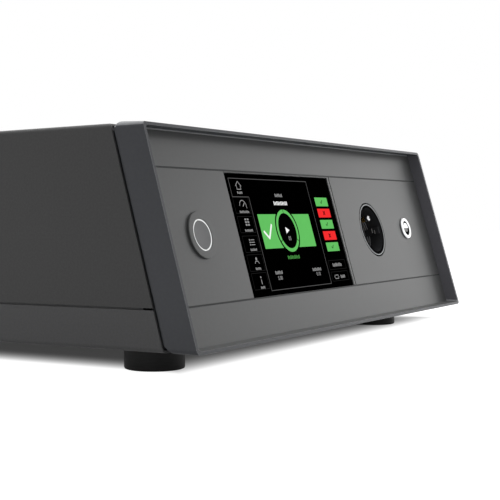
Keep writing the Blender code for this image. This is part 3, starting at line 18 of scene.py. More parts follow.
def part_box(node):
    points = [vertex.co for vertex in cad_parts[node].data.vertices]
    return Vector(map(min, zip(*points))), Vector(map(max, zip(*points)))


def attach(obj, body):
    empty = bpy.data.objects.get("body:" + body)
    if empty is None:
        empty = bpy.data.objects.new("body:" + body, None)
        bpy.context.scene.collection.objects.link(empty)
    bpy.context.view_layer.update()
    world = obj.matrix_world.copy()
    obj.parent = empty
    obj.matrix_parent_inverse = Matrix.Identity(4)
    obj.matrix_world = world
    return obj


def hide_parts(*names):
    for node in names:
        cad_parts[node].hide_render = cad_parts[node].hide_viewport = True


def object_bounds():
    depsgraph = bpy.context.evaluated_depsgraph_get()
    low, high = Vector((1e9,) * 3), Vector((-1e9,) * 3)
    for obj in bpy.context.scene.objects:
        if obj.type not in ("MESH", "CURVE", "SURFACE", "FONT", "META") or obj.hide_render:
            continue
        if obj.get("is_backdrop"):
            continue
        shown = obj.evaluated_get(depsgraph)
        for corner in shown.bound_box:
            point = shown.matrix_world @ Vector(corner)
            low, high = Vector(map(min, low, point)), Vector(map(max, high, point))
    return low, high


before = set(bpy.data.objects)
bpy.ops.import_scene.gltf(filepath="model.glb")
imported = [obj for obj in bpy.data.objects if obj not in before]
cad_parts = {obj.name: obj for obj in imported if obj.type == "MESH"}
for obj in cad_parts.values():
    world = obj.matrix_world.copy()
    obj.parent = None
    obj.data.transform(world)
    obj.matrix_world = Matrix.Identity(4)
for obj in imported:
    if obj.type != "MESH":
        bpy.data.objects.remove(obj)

log = logging.getLogger("tester")

MM = 0.001
WELD = 1e-7
Shape = bmesh.types.BMesh
Pair = tuple[float, float]
Profile = Sequence[Pair]
Triple = tuple[float, float, float]
Colour = tuple[float, float, float, float]


class Body(Enum):
    """The rigid bodies of the tester."""

    HOUSING = "housing"
    BUTTON = "button"
    ROCKER = "rocker"
    DRAWER = "drawer"
    FAN = "fan"


class Slot(Enum):
    """The record's material slots, one named for each new piece."""

    COVER = "cover_paint"
    FRAME = "frame_paint"
    PANEL = "panel_paint"
    GLASS = "glass_black"
    LIGHT = "light_white"
    BLACK_PLASTIC = "plastic_black"
    WHITE_PLASTIC = "plastic_white"
    RUBBER = "rubber_black"
    CHROME = "chrome"
    STEEL = "steel"
    BRASS = "brass"


class Datum(Enum):
    """The plane that a new piece is drawn in."""

    PANEL = "panel"
    ROOM = "room"


def linear(colour: str) -> Colour:
    """Turn an sRGB hex colour to the linear values that Blender's sockets take.

    Args:
        colour: six hex digits after a hash.

    Returns:
        Red, green, blue and a full alpha.
    """
    parts = [int(colour[start : start + 2], 16) / 255 for start in (1, 3, 5)]
    lit = [part / 12.92 if part <= 0.04045 else ((part + 0.055) / 1.055) ** 2.4 for part in parts]
    return (lit[0], lit[1], lit[2], 1.0)


def add_node(
    tree: bpy.types.NodeTree, kind: str, settings: Optional[dict[str | int, object]] = None
) -> bpy.types.Node:
    """Add one shader node with its settings and its incoming links.

    Args:
        tree: the material's or world's node tree.
        kind: Blender's name for the node type, after "ShaderNode".
        settings: properties by name, and inputs by name or number. An input gets a value, or the
            socket that feeds it.

    Returns:
        The new node.
    """
    node = tree.nodes.new(f"ShaderNode{kind}")
    for name, value in (settings or {}).items():
        if isinstance(value, bpy.types.NodeSocket):
            tree.links.new(value, node.inputs[name])
        elif isinstance(name, int) or name in node.inputs:
            node.inputs[name].default_value = value
        else:
            setattr(node, name, value)
    return node


def maths(
    tree: bpy.types.NodeTree, operation: str, *terms: object, kind: str = "Math"
) -> bpy.types.NodeSocket:
    """Add a maths node whose terms are values or sockets, and return the socket of its result."""
    return add_node(tree, kind, {"operation": operation, **dict(enumerate(terms))}).outputs[0]


def ranged(
    tree: bpy.types.NodeTree, value: bpy.types.NodeSocket, **limits: float
) -> bpy.types.NodeSocket:
    """Map a value by from_min, from_max, to_min and to_max, which are 0 and 1 if not given."""
    settings = {name.replace("_", " ").title(): limit for name, limit in limits.items()}
    return add_node(tree, "MapRange", {**settings, "Value": value}).outputs["Result"]


def add_ramp(
    tree: bpy.types.NodeTree, value: bpy.types.NodeSocket, *stops: tuple[float, Colour]
) -> bpy.types.NodeSocket:
    """Colour a value by a ramp between two stops.

    Args:
        tree: the node tree.
        value: the socket that gives the value.
        stops: position and colour of the low and the high stop.

    Returns:
        The socket with the colour.
    """
    ramp = add_node(tree, "ValToRGB", {"Fac": value})
    for element, (position, colour) in zip(ramp.color_ramp.elements, stops):
        element.position = position
        element.color = colour
    return ramp.outputs["Color"]


@dataclass(frozen=True)
class Surface:
    """What each finish has: a name, a colour and a material that is made once."""

    name: str
    colour: str

    def material(self) -> bpy.types.Material:
        """Return this finish as a material."""
        made = bpy.data.materials.get(self.name)
        if made is None:
            made = bpy.data.materials.new(self.name)
            made.use_nodes = True
            made.node_tree.nodes.clear()
            place = add_node(made.node_tree, "TexCoord").outputs["Object"]
            shader = self.shader(made.node_tree, place)
            add_node(made.node_tree, "OutputMaterial", {"Surface": shader.outputs["BSDF"]})
        return made

    def shader(self, tree: bpy.types.NodeTree, place: bpy.types.NodeSocket) -> bpy.types.Node:
        """Build the shader and what feeds it, which each kind of finish does in its own way."""
        raise NotImplementedError


@dataclass(frozen=True)
class Finish(Surface):
    """A surface with a fine grain: colour drift, uneven gloss and a bump, all from one noise.

    The grain is a real size in millimetres, and the depth is how far the bump stands.
    """

    shade: str
    roughness: float
    metallic: float = 0.0
    ior: float = 1.5
    grain: float = 1.5
    grain_detail: float = 3.0
    grain_roughness: float = 0.55
    drift: Pair = (0.35, 0.65)
    depth: float = 0.03
    bump: float = 0.2
    gloss_drift: float = 0.08
    smoothest: float = 0.02
    stretch: Triple = (1.0, 1.0, 1.0)
    specular: float = 0.5

    def variant(self, name: str, colour: str, shade: str, **changes: float) -> "Finish":
        """Return this finish under another name, in other colours and with some fields changed."""
        return replace(self, name=name, colour=colour, shade=shade, **changes)

    def shader(self, tree: bpy.types.NodeTree, place: bpy.types.NodeSocket) -> bpy.types.Node:
        """Build the shader and its grain.

        Args:
            tree: the material's tree.
            place: the socket with the place on the object.

        Returns:
            The shader node.
        """
        scaled = add_node(tree, "Mapping", {"Scale": self.stretch, "Vector": place})
        noise = {
            "Scale": 1 / (self.grain * MM),
            "Detail": self.grain_detail,
            "Roughness": self.grain_roughness,
            "Vector": scaled.outputs["Vector"],
        }
        grain = add_node(tree, "TexNoise", noise).outputs["Fac"]
        low, high = self.drift
        gloss = ranged(
            tree,
            grain,
            to_min=max(self.roughness - self.gloss_drift, self.smoothest),
            to_max=min(self.roughness + self.gloss_drift, 1.0),
        )
        relief = {"Strength": self.bump, "Distance": self.depth * MM, "Height": grain}
        return add_node(
            tree,
            "BsdfPrincipled",
            {
                "Base Color": add_ramp(
                    tree, grain, (low, linear(self.shade)), (high, linear(self.colour))
                ),
                "Roughness": gloss,
                "Normal": add_node(tree, "Bump", relief).outputs["Normal"],
                "Metallic": self.metallic,
                "IOR": self.ior,
                "Specular IOR Level": self.specular,
            },
        )


@dataclass(frozen=True)
class Glow(Surface):
    """A lit area: light from behind a clear or printed layer, with a faint cloudiness.

    The clouds are a real size in millimetres, and their dark parts keep a share of the light.
    """

    strength: float = 1.0
    roughness: float = 0.2
    clouds: float = 6.0
    dimmed: float = 0.92

    def shader(self, tree: bpy.types.NodeTree, place: bpy.types.NodeSocket) -> bpy.types.Node:
        """Build the shader and its clouds.

        Args:
            tree: the material's tree.
            place: the socket with the place on the object.

        Returns:
            The shader node.
        """
        noise = {"Scale": 1 / (self.clouds * MM), "Detail": 1.0, "Vector": place}
        drift = add_node(tree, "TexNoise", noise).outputs["Fac"]
        lit = linear(self.colour)
        dim = (*(part * self.dimmed for part in lit[:3]), 1.0)
        return add_node(
            tree,
            "BsdfPrincipled",
            {
                "Base Color": (0.0, 0.0, 0.0, 1.0),
                "Roughness": self.roughness,
                "Specular IOR Level": 0.0,
                "Emission Strength": self.strength,
                "Emission Color": add_ramp(tree, drift, (0.0, dim), (1.0, lit)),
            },
        )


# Powder coat on steel sheet: a fine matt texture that scatters light and hides finger marks. Its
# grain is under half a millimetre and is drawn three times as coarse, so that it shows.
POWDER_COAT = Finish(
    "cover_powder_coat", "#6d6d6d", "#676767", 0.55, grain=1.4, depth=0.05, bump=0.35, specular=0.3
)
# The same coat on the tray, a touch lighter: painted light from the floor on the low part of the
# side.
TRAY_PAINTED_LIGHT_COAT = POWDER_COAT.variant("tray_painted_light_powder_coat", "#7f7f80", "#79797a")
# Satin paint on the aluminium front frame: smoother than the cover, with a soft sheen.
FRAME_PAINT = Finish(
    "frame_satin_paint", "#63656a", "#606267", 0.40, grain=2.2, depth=0.012, specular=0.3
)
# The same paint, much lighter: painted highlights on the front faces, the bevels, the bright
# fillets and the hood's bead.
FRAME_COAT_PAINTED_HIGHLIGHT = FRAME_PAINT.variant(
    "frame_coat_painted_highlight", "#c0c2c5", "#babcbf", roughness=0.34, specular=0.5
)
# The same paint, duller and darker: painted shade on the underside of the hood's top wall.
FRAME_COAT_PAINTED_SHADE = FRAME_PAINT.variant("frame_coat_painted_shade", "#5c5f63", "#595c60", roughness=0.5)
# The same paint, lighter, on the inner faces of the right side: painted light from the floor.
FRAME_WALL_COAT_PAINTED_LIGHT = FRAME_PAINT.variant("frame_wall_coat_painted_light", "#8d8c93", "#8a8990", roughness=0.45)
# Grey sealant in the joints between the plates: matt, so that a joint reads as a soft line.
JOINT_SEALANT = Finish(
    "joint_sealant", "#5a5c5c", "#555757", 0.65, grain=1.0, depth=0.02, specular=0.3
)
# Satin paint on the panel plates, lighter than the frame.
PANEL_PAINT = FRAME_PAINT.variant(
    "panel_satin_paint", "#757676", "#727373", roughness=0.36, specular=0.35
)
# The same kind of paint on the button's disc.
BUTTON_PAINT = Finish("button_satin_paint", "#727375", "#6f7072", 0.38, grain=2.0, depth=0.01)
# Coated cover glass over a dark display: deep black with almost no reflection of the room.
SCREEN_GLASS = Finish(
    "screen_cover_glass",
    "#020202",
    "#010101",
    0.25,
    grain=30.0,
    depth=0.002,
    bump=0.02,
    gloss_drift=0.03,
    specular=0.0,
)
# Injection-moulded nylon and ABS in black: matt, with a faint spark-eroded grain.
BLACK_NYLON = Finish("moulded_black_nylon", "#161617", "#121213", 0.5, grain=0.9, depth=0.03)
# The step edges deep in the test socket, pale: painted reflections, the light streaks on the
# socket's dark wall.
STEP_RINGS_PAINTED_GLINT = Finish("step_rings_painted_glint", "#dcdddf", "#cecfd1", 0.3, grain=0.9, depth=0.02)
# Matt black that shows no sheen even at a flat angle, partly black plastic and partly painted
# shade: the seat of the nickel ring, the rim of the recess, the core of the probe socket, the
# earth pin's dimple and the slots in the seam.
BLACK_AND_PAINTED_SHADE = Finish(
    "matt_black_and_painted_shade", "#0b0b0c", "#070708", 0.9, grain=0.9, depth=0.02, specular=0.02
)
# Wall of the recess: grey-black, lighter than the black nylon, for painted light in the recess;
# dull, so that it shows no mirror of the room.
RECESS_NYLON_PAINTED_LIGHT = Finish(
    "recess_nylon_painted_light", "#38393b", "#2f3032", 0.5, grain=0.9, depth=0.02, specular=0.3
)
# White and slightly glossy: painted highlights, thin strips on the edges of the test socket's key.
KEY_EDGE_PAINTED_HIGHLIGHT = Finish("key_edge_painted_highlight", "#f2f1ee", "#e8e7e4", 0.3, grain=1.2)
# Pale grey moulded plastic, slightly glossy: the key of the probe socket.
PALE_INSULATOR = Finish("moulded_pale_insulator", "#8d8c8a", "#807f7d", 0.35, grain=1.2)
# Turned rubber: matt black with the bloom that rubber gets.
FOOT_RUBBER = Finish(
    "foot_rubber", "#242424", "#1b1b1b", 0.42, grain=2.0, specular=0.22, stretch=(0.2, 0.2, 1.5)
)
# Bright nickel on brass: a mirror with the faint swirl of polishing.
BRIGHT_NICKEL = Finish(
    "bright_nickel", "#d9dadc", "#cfd0d2", 0.12, 1.0, grain=3.0, depth=0.004, gloss_drift=0.04
)
# Satin nickel ring round the test socket: lathe-turned and a little dull.
SATIN_NICKEL = Finish("satin_nickel", "#8b8d8e", "#828485", 0.4, 1.0, grain=1.0, depth=0.006)
# Zinc-plated steel: grey, with a soft crystalline cloudiness.
ZINC_STEEL = Finish("zinc_plated_steel", "#a9abad", "#95979a", 0.34, 1.0, grain=2.5, depth=0.01)
# Brass from the lathe: yellow, with fine tool marks.
BARE_BRASS = Finish("turned_brass", "#d0a95c", "#bd9446", 0.28, 1.0, grain=1.0, depth=0.01)
# Enamelled wire in layers: dark copper with the ribs of the winding.
ENAMELLED_COPPER = Finish(
    "enamelled_copper_winding",
    "#a5552a",
    "#7c3a1a",
    0.35,
    0.6,
    grain=1.0,
    depth=0.3,
    bump=0.8,
    stretch=(0.15, 0.15, 1.0),
)
# Varnished steel sheets in a stack: dark grey with the lines of their edges.
CORE_LAMINATION = Finish(
    "varnished_core_lamination",
    "#54565a",
    "#3c3e42",
    0.5,
    0.7,
    grain=0.8,
    depth=0.2,
    bump=0.6,
    stretch=(0.05, 1.0, 0.05),
)
# Solder mask on a circuit board: green lacquer with a soft gloss.
SOLDER_MASK = Finish("green_solder_mask", "#1e6a41", "#175836", 0.35, grain=2.0, depth=0.05)
# Rolled aluminium: bright, with brush lines along one direction.
BARE_ALUMINIUM = Finish(
    "brushed_aluminium",
    "#b7b9bb",
    "#a7a9ab",
    0.35,
    1.0,
    grain=0.8,
    depth=0.02,
    stretch=(1.0, 0.05, 1.0),
)
# Light from behind: the ring of the button and the symbols of the display.
RING_LIGHT = Glow("button_ring_light", "#f4f6f5")
SCREEN_GREEN = Glow("screen_green", "#66c464")
SCREEN_DULL_GREEN = Glow("screen_dull_green", "#4c9a49")
SCREEN_RED = Glow("screen_red", "#f92f31")
SCREEN_WHITE = Glow("screen_white", "#ffffff")
SCREEN_GREY = Glow("screen_grey", "#989898")
SCREEN_LINE = Glow("screen_line", "#565656")
SCREEN_DIM = Glow("screen_dim", "#222222")
SCREEN_BLACK = Glow("screen_black", "#020202")


def bevel_edges(
    shape: Shape, edges: Iterable[bmesh.types.BMEdge], width: float, segments: int = 2
) -> None:
    """Round some edges of a shape.

    Args:
        shape: the mesh that is changed.
        edges: the edges to round.
        width: how far the bevel reaches, in millimetres.
        segments: faces across the bevel.
    """
    bmesh.ops.bevel(
        shape,
        geom=list(edges),
        offset=width * MM,
        segments=segments,
        profile=0.5,
        affect="EDGES",
        material=-1,
        clamp_overlap=True,
    )


def slab(x: Pair, y: Pair, z: Pair, rounding: float = 0.0, segments: int = 2) -> Shape:
    """Make a box with softened edges.

    Args:
        x: lowest and highest place along X, in millimetres.
        y: the same along Y.
        z: the same along Z.
        rounding: the bevel's width, or 0 for sharp edges.
        segments: faces across the bevel.

    Returns:
        The new mesh.
    """
    shape = bmesh.new()
    bmesh.ops.create_cube(shape, size=1.0)
    size = Vector((x[1] - x[0], y[1] - y[0], z[1] - z[0])) * MM
    middle = Vector((x[0] + x[1], y[0] + y[1], z[0] + z[1])) * (MM / 2)
    bmesh.ops.scale(shape, vec=size, verts=shape.verts)
    bmesh.ops.translate(shape, vec=middle, verts=shape.verts)
    if rounding > 0:
        bevel_edges(shape, shape.edges, rounding, segments)
    return shape


def section(inner: float, outer: float, front: float, back: float) -> list[Pair]:
    """Give the (radius, depth) corners of a rectangle between two radii and two depths."""
    return [(inner, front), (outer, front), (outer, back), (inner, back)]


def turned(profile: Profile, closed: bool = False, steps: int = 96) -> Shape:
    """Revolve a profile round the Y axis.

    Args:
        profile: (radius, depth) points in millimetres.
        closed: whether the last point joins the first, which makes a ring.
        steps: faces round the turn.

    Returns:
        The new mesh.
    """
    shape = bmesh.new()
    points = [shape.verts.new((radius * MM, depth * MM, 0)) for radius, depth in profile]
    edges = [shape.edges.new(pair) for pair in zip(points, points[1:])]
    if closed:
        edges.append(shape.edges.new((points[-1], points[0])))
    bmesh.ops.spin(
        shape,
        geom=points + edges,
        cent=(0, 0, 0),
        axis=(0, 1, 0),
        angle=math.tau,
        steps=steps,
        use_merge=True,
    )
    bmesh.ops.remove_doubles(shape, verts=shape.verts, dist=WELD)
    return shape


def cut_sheet(outline: Profile, front: float, thickness: float) -> Shape:
    """Cut a flat shape in the X-Z plane and give it a thickness.

    Args:
        outline: (x, z) corners in millimetres.
        front: place of its front face along Y, in millimetres.
        thickness: how thick it is, in millimetres.

    Returns:
        The new mesh.
    """
    shape = bmesh.new()
    face = shape.faces.new([shape.verts.new((x * MM, front * MM, z * MM)) for x, z in outline])
    grown = bmesh.ops.extrude_face_region(shape, geom=[face])
    raised = [item for item in grown["geom"] if isinstance(item, bmesh.types.BMVert)]
    bmesh.ops.translate(shape, vec=(0, thickness * MM, 0), verts=raised)
    return shape


def merged(shapes: Iterable[Shape]) -> Shape:
    """Put several shapes into one mesh and free the parts.

    Args:
        shapes: the meshes to gather.

    Returns:
        One mesh with all of them.
    """
    whole = bmesh.new()
    for shape in shapes:
        spare = bpy.data.meshes.new("spare")
        shape.to_mesh(spare)
        shape.free()
        whole.from_mesh(spare)
        bpy.data.meshes.remove(spare)
    return whole


def moved(shape: Shape, x: float, y: float, z: float) -> Shape:
    """Shift a shape by millimetres and return it."""
    bmesh.ops.translate(shape, vec=Vector((x, y, z)) * MM, verts=shape.verts)
    return shape


def spun(shape: Shape, degrees: float, axis: str = "Y") -> Shape:
    """Turn a shape about an axis through the origin and return it."""
    turn = Matrix.Rotation(math.radians(degrees), 3, axis)
    bmesh.ops.rotate(shape, cent=(0, 0, 0), matrix=turn, verts=shape.verts)
    return shape


def rounded_outline(x: Pair, z: Pair, radius: float, steps: int = 4) -> list[Pair]:
    """Give the corner points of a rectangle whose corners are arcs.

    Args:
        x: lowest and highest x in millimetres.
        z: lowest and highest z in millimetres.
        radius: radius of the corners.
        steps: points along each arc, less one.

    Returns:
        The outline's points in order.
    """
    left, right, low, high = x[0] + radius, x[1] - radius, z[0] + radius, z[1] - radius
    points = []
    for across, up, start in (
        (right, high, 0),
        (left, high, 90),
        (left, low, 180),
        (right, low, 270),
    ):
        for step in range(steps + 1):
            angle = math.radians(start + 90 * step / steps)
            points.append((across + radius * math.cos(angle), up + radius * math.sin(angle)))
    return points


def middle_of(low: Vector, high: Vector) -> float:
    """Give the middle of a box across the tester, in millimetres."""
    return (low.x + high.x) / 2 / MM


def add_object(name: str, data: bpy.types.ID) -> bpy.types.Object:
    """Put a mesh, curve, lamp or camera into the scene.

    Args:
        name: the object's name.
        data: what it shows.

    Returns:
        The new object.
    """
    holder = bpy.data.objects.new(name, data)
    bpy.context.scene.collection.objects.link(holder)
    return holder


@dataclass
class Bench:
    """Where pieces are finished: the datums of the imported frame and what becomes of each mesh."""

    recess: float = 10.1
    slant: float = 15.0
    weld: float = 0.002
    flat_angle: float = 0.5
    sharp_angle: float = 50.0
    smooth_angle: float = 35.0
    made: list[str] = field(default_factory=list)

    def datum(self, kind: Datum) -> Matrix:
        """Give the matrix of a drawing plane.

        Args:
            kind: which plane.

        Returns:
            The matrix from the plane's own places to the room's.
        """
        if kind is Datum.ROOM:
            return Matrix.Identity(4)
        low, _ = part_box("front_frame")
        lean = Matrix.Rotation(-math.radians(self.slant), 4, "X")
        return Matrix.Translation((0, low.y + self.recess * MM, low.z)) @ lean

    def control_row(self) -> float:
        """Give the height of the sockets' and the button's middles up the panel's slope."""
        low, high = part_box("test_socket_ring")
        slant = math.radians(self.slant)
        middle = (low + high) / 2 - self.datum(Datum.PANEL).translation
        return (middle.z * math.cos(slant) + middle.y * math.sin(slant)) / MM

    def finish(
        self,
        shape: Shape,
        name: str,
        finish: Surface,
        slot: Slot,
        datum: Datum = Datum.ROOM,
        body: Body = Body.HOUSING,
        replaces: Sequence[str] = (),
    ) -> bpy.types.Object:
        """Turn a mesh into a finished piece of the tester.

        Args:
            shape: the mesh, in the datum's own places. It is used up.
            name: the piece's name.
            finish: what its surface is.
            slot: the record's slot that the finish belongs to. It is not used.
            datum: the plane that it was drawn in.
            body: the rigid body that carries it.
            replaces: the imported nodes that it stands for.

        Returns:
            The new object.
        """
        bmesh.ops.transform(shape, matrix=self.datum(datum), verts=shape.verts)
        bmesh.ops.recalc_face_normals(shape, faces=shape.faces)
        mesh = bpy.data.meshes.new(name)
        shape.to_mesh(mesh)
        shape.free()
        mesh.shade_smooth()
        mesh.set_sharp_from_angle(angle=math.radians(self.smooth_angle))
        mesh.materials.append(finish.material())
        piece = add_object(name, mesh)
        even = piece.modifiers.new("even_normals", "WEIGHTED_NORMAL")
        even.keep_sharp = True
        even.weight = 100
        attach(piece, body.value)
        if replaces:
            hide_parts(*replaces)
        self.made.append(name)
        log.info("%s: %d faces", name, len(mesh.polygons))
        return piece

    def mount(
        self,
        shape: Shape,
        place: Pair,
        name: str,
        finish: Surface,
        slot: Slot,
        body: Body = Body.HOUSING,
        replaces: Sequence[str] = (),
    ) -> None:
        """Finish a piece of the front, drawn round its own middle, at an (x, z) place."""
        x, z = place
        self.finish(moved(shape, x, 0, z), name, finish, slot, Datum.PANEL, body, replaces)

    def refine(
        self,
        node: str,
        finish: Finish,
        slot: Slot,
        edge: float = 0.25,
        body: Body = Body.HOUSING,
    ) -> bpy.types.Object:
        """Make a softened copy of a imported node, with its flat faces whole and its edges broken.

        Args:
            node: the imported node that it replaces.
            finish: what its surface is.
            slot: the record's slot.
            edge: width of the broken edges in millimetres, or 0 to keep them.
            body: the rigid body that carries it.

        Returns:
            The new object.
        """
        shape = bmesh.new()
        shape.from_mesh(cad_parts[node].data)
        bmesh.ops.remove_doubles(shape, verts=shape.verts, dist=self.weld * MM)
        bmesh.ops.dissolve_limit(
            shape,
            angle_limit=math.radians(self.flat_angle),
            verts=shape.verts,
            edges=shape.edges,
        )
        if edge > 0:
            limit = math.radians(self.sharp_angle)
            sharp = [
                line
                for line in shape.edges
                if len(line.link_faces) == 2 and line.calc_face_angle() > limit
            ]
            bevel_edges(shape, sharp, edge)
        return self.finish(shape, f"{node}_surface", finish, slot, body=body, replaces=[node])

    def dress(self, node: str, finish: Finish) -> None:
        """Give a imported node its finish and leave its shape."""
        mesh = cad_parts[node].data
        mesh.materials.clear()
        mesh.materials.append(finish.material())
        log.info("%s: dressed", node)


@dataclass
class Housing:
    """Front frame, cover, tray and feet."""

    frame_edge: float = 0.5
    front_plane: float = -9.76
    lip: float = 0.65
    hood_top: float = 100.0
    hood_floor: float = 20.0
    corner_x: float = 218.0
    corner_rise: Pair = (0.4, 0.98)
    strip_depth: float = 0.3
    facing_front: float = 0.95
    facing_level: float = 0.7
    facing_side: float = 0.2
    bead_x: Pair = (-219.6, 219.6)
    bead_y: Pair = (-0.55, 0.1)
    bead_z: Pair = (139.15, 140.15)
    bead_edge: float = 0.25
    bead_segments: int = 3
    sheet_edge: float = 0.3
    slot_y: Pair = (-162.9, -157.2)
    slot_z: Pair = (41.55, 42.7)
    slot_depth: Pair = (0.05, 0.6)
    foot_radius: float = 19.6
    foot_height: float = 16.4
    foot_edge: float = 1.2
    foot_cut: float = 0.3
    foot_shoulder: Pair = (0.5, 1.0)
    foot_bore: float = 6.2
    foot_floor: float = 6.0
    foot_gap: float = 0.3
    screw_bore: float = 2.4
    screw_edge: float = 0.15

    def build(self, bench: Bench) -> None:
        """Make the pieces of the housing.

        Args:
            bench: where they are finished.
        """
        front = bench.refine("front_frame", FRAME_PAINT, Slot.FRAME, self.frame_edge)
        self.tint_frame(bench, front)
        # A bead under the hood's top wall in the highlight paint: a painted highlight line.
        bead = slab(self.bead_x, self.bead_y, self.bead_z, self.bead_edge, self.bead_segments)
        bench.finish(bead, "hood_bead", FRAME_COAT_PAINTED_HIGHLIGHT, Slot.FRAME, Datum.PANEL)
        bench.refine("top_cover", POWDER_COAT, Slot.COVER, self.sheet_edge)
        bench.refine("base_tray", TRAY_PAINTED_LIGHT_COAT, Slot.COVER, self.sheet_edge)
        self.build_slots(bench)
        for row in ("front", "rear"):
            for side in ("left", "right"):
                self.build_foot(bench, f"{row}_{side}")

    def build_slots(self, bench: Bench) -> None:
        """Make the black slots at the front end of the seam, one on each side: painted shade in the
        openings.
        """
        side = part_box("top_cover")[1].x / MM
        near, far = side - self.slot_depth[0], side - self.slot_depth[1]
        slots = [slab(x, self.slot_y, self.slot_z) for x in ((-near, -far), (far, near))]
        bench.finish(merged(slots), "seam_painted_shade_slots", BLACK_AND_PAINTED_SHADE, Slot.COVER)

    def tint_frame(self, bench: Bench, piece: bpy.types.Object) -> None:
        """Give the frame's faces painted highlights, painted shade and painted light, and the
        plates' paint on the strips.

        Args:
            bench: where the datums are.
            piece: the refined front frame.
        """
        paints = (FRAME_PAINT, FRAME_COAT_PAINTED_HIGHLIGHT, FRAME_COAT_PAINTED_SHADE, PANEL_PAINT, FRAME_WALL_COAT_PAINTED_LIGHT)
        for paint in paints[1:]:
            piece.data.materials.append(paint.material())
        to_panel = bench.datum(Datum.PANEL).inverted()
        for face in piece.data.polygons:
            place = to_panel @ face.center / MM
            normal = to_panel.to_3x3() @ face.normal
            face.material_index = paints.index(self.paint_at(place, normal, face.normal.z))

    def paint_at(self, place: Vector, normal: Vector, rise: float) -> Finish:
        """Say which paint a face of the front frame has.

        Args:
            place: the middle of the face in the panel's plane, in millimetres.
            normal: the way that it faces in the panel's plane.
            rise: how far it faces up in the room.

        Returns:
            The paint.
        """
        high, low = place.z > self.hood_top, place.z < self.hood_floor
        flat = normal.y < -self.facing_front
        inside = place.y < 0
        # The front: painted highlights on the flat front faces of the top and bottom walls and on
        # every bevel but the top's upward one.
        if place.y < self.front_plane + self.lip:
            upward = high and normal.z > self.facing_side
            bright = (high or low) if flat else not upward
            return FRAME_COAT_PAINTED_HIGHLIGHT if bright else FRAME_PAINT
        if abs(place.y) < self.strip_depth and flat:
            return PANEL_PAINT
        # Underside of the hood's top wall: painted shade.
        if inside and high and normal.z < -self.facing_level:
            return FRAME_COAT_PAINTED_SHADE
        if inside and low and normal.z > self.facing_level:
            return PANEL_PAINT
        # Faces near both sides that slant upwards, such as the bottom corners' fillets: painted
        # reflection of the bright surround.
        if abs(place.x) > self.corner_x and self.corner_rise[0] < rise < self.corner_rise[1]:
            return FRAME_COAT_PAINTED_HIGHLIGHT
        # Inner faces of the right side: painted light from the floor, and a painted highlight on
        # the fillet at their foot.
        if inside and place.x > self.corner_x and normal.x < -self.facing_side:
            return FRAME_WALL_COAT_PAINTED_LIGHT if normal.z < self.facing_side else FRAME_COAT_PAINTED_HIGHLIGHT
        return FRAME_PAINT

    def build_foot(self, bench: Bench, corner: str) -> None:
        """Make one rubber foot with a screw in its bore.

        Args:
            bench: where it is finished.
            corner: which foot, as in the node's name.
        """
        low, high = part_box(f"foot_{corner}")
        middle = (low + high) / 2
        radius, bore, cut = self.foot_radius, self.foot_bore, self.foot_edge * self.foot_cut
        inset, drop = self.foot_shoulder
        top, floor = self.foot_height - self.foot_gap, self.foot_height - self.foot_floor
        profile = [
            (bore, 0),
            (radius - self.foot_edge, 0),
            (radius - cut, cut),
            (radius, self.foot_edge),
            (radius, self.foot_height - drop),
            (radius - inset, top),
            (self.screw_bore, top),
            (self.screw_bore, floor),
            (bore, floor),
        ]
        shape = spun(turned(profile, closed=True), 90, "X")
        moved(shape, middle.x / MM, middle.y / MM, low.z / MM)
        foot = f"foot_{corner}"
        bench.finish(shape, f"{foot}_rubber", FOOT_RUBBER, Slot.RUBBER, replaces=[foot])
        bench.refine(f"foot_screw_{corner}", ZINC_STEEL, Slot.STEEL, self.screw_edge)


@dataclass
class FrontPlates:
    """The two painted plates in the frame's channel."""

    edge: float = 0.25
    joint_x: Pair = (-221.0, 221.0)
    joint_y: Pair = (0.25, 1.0)
    joints: tuple[Pair, ...] = ((26.5, 27.5), (114.5, 115.5))

    def build(self, bench: Bench) -> None:
        """Make the plates, the display's trim and the filled joints above and below them.

        Args:
            bench: where they are finished.
        """
        for node in ("left_panel", "right_panel", "display_trim"):
            bench.refine(node, PANEL_PAINT, Slot.PANEL, self.edge)
        filler = merged([slab(self.joint_x, self.joint_y, heights) for heights in self.joints])
        bench.finish(filler, "plate_joint_filler", JOINT_SEALANT, Slot.PANEL, Datum.PANEL)


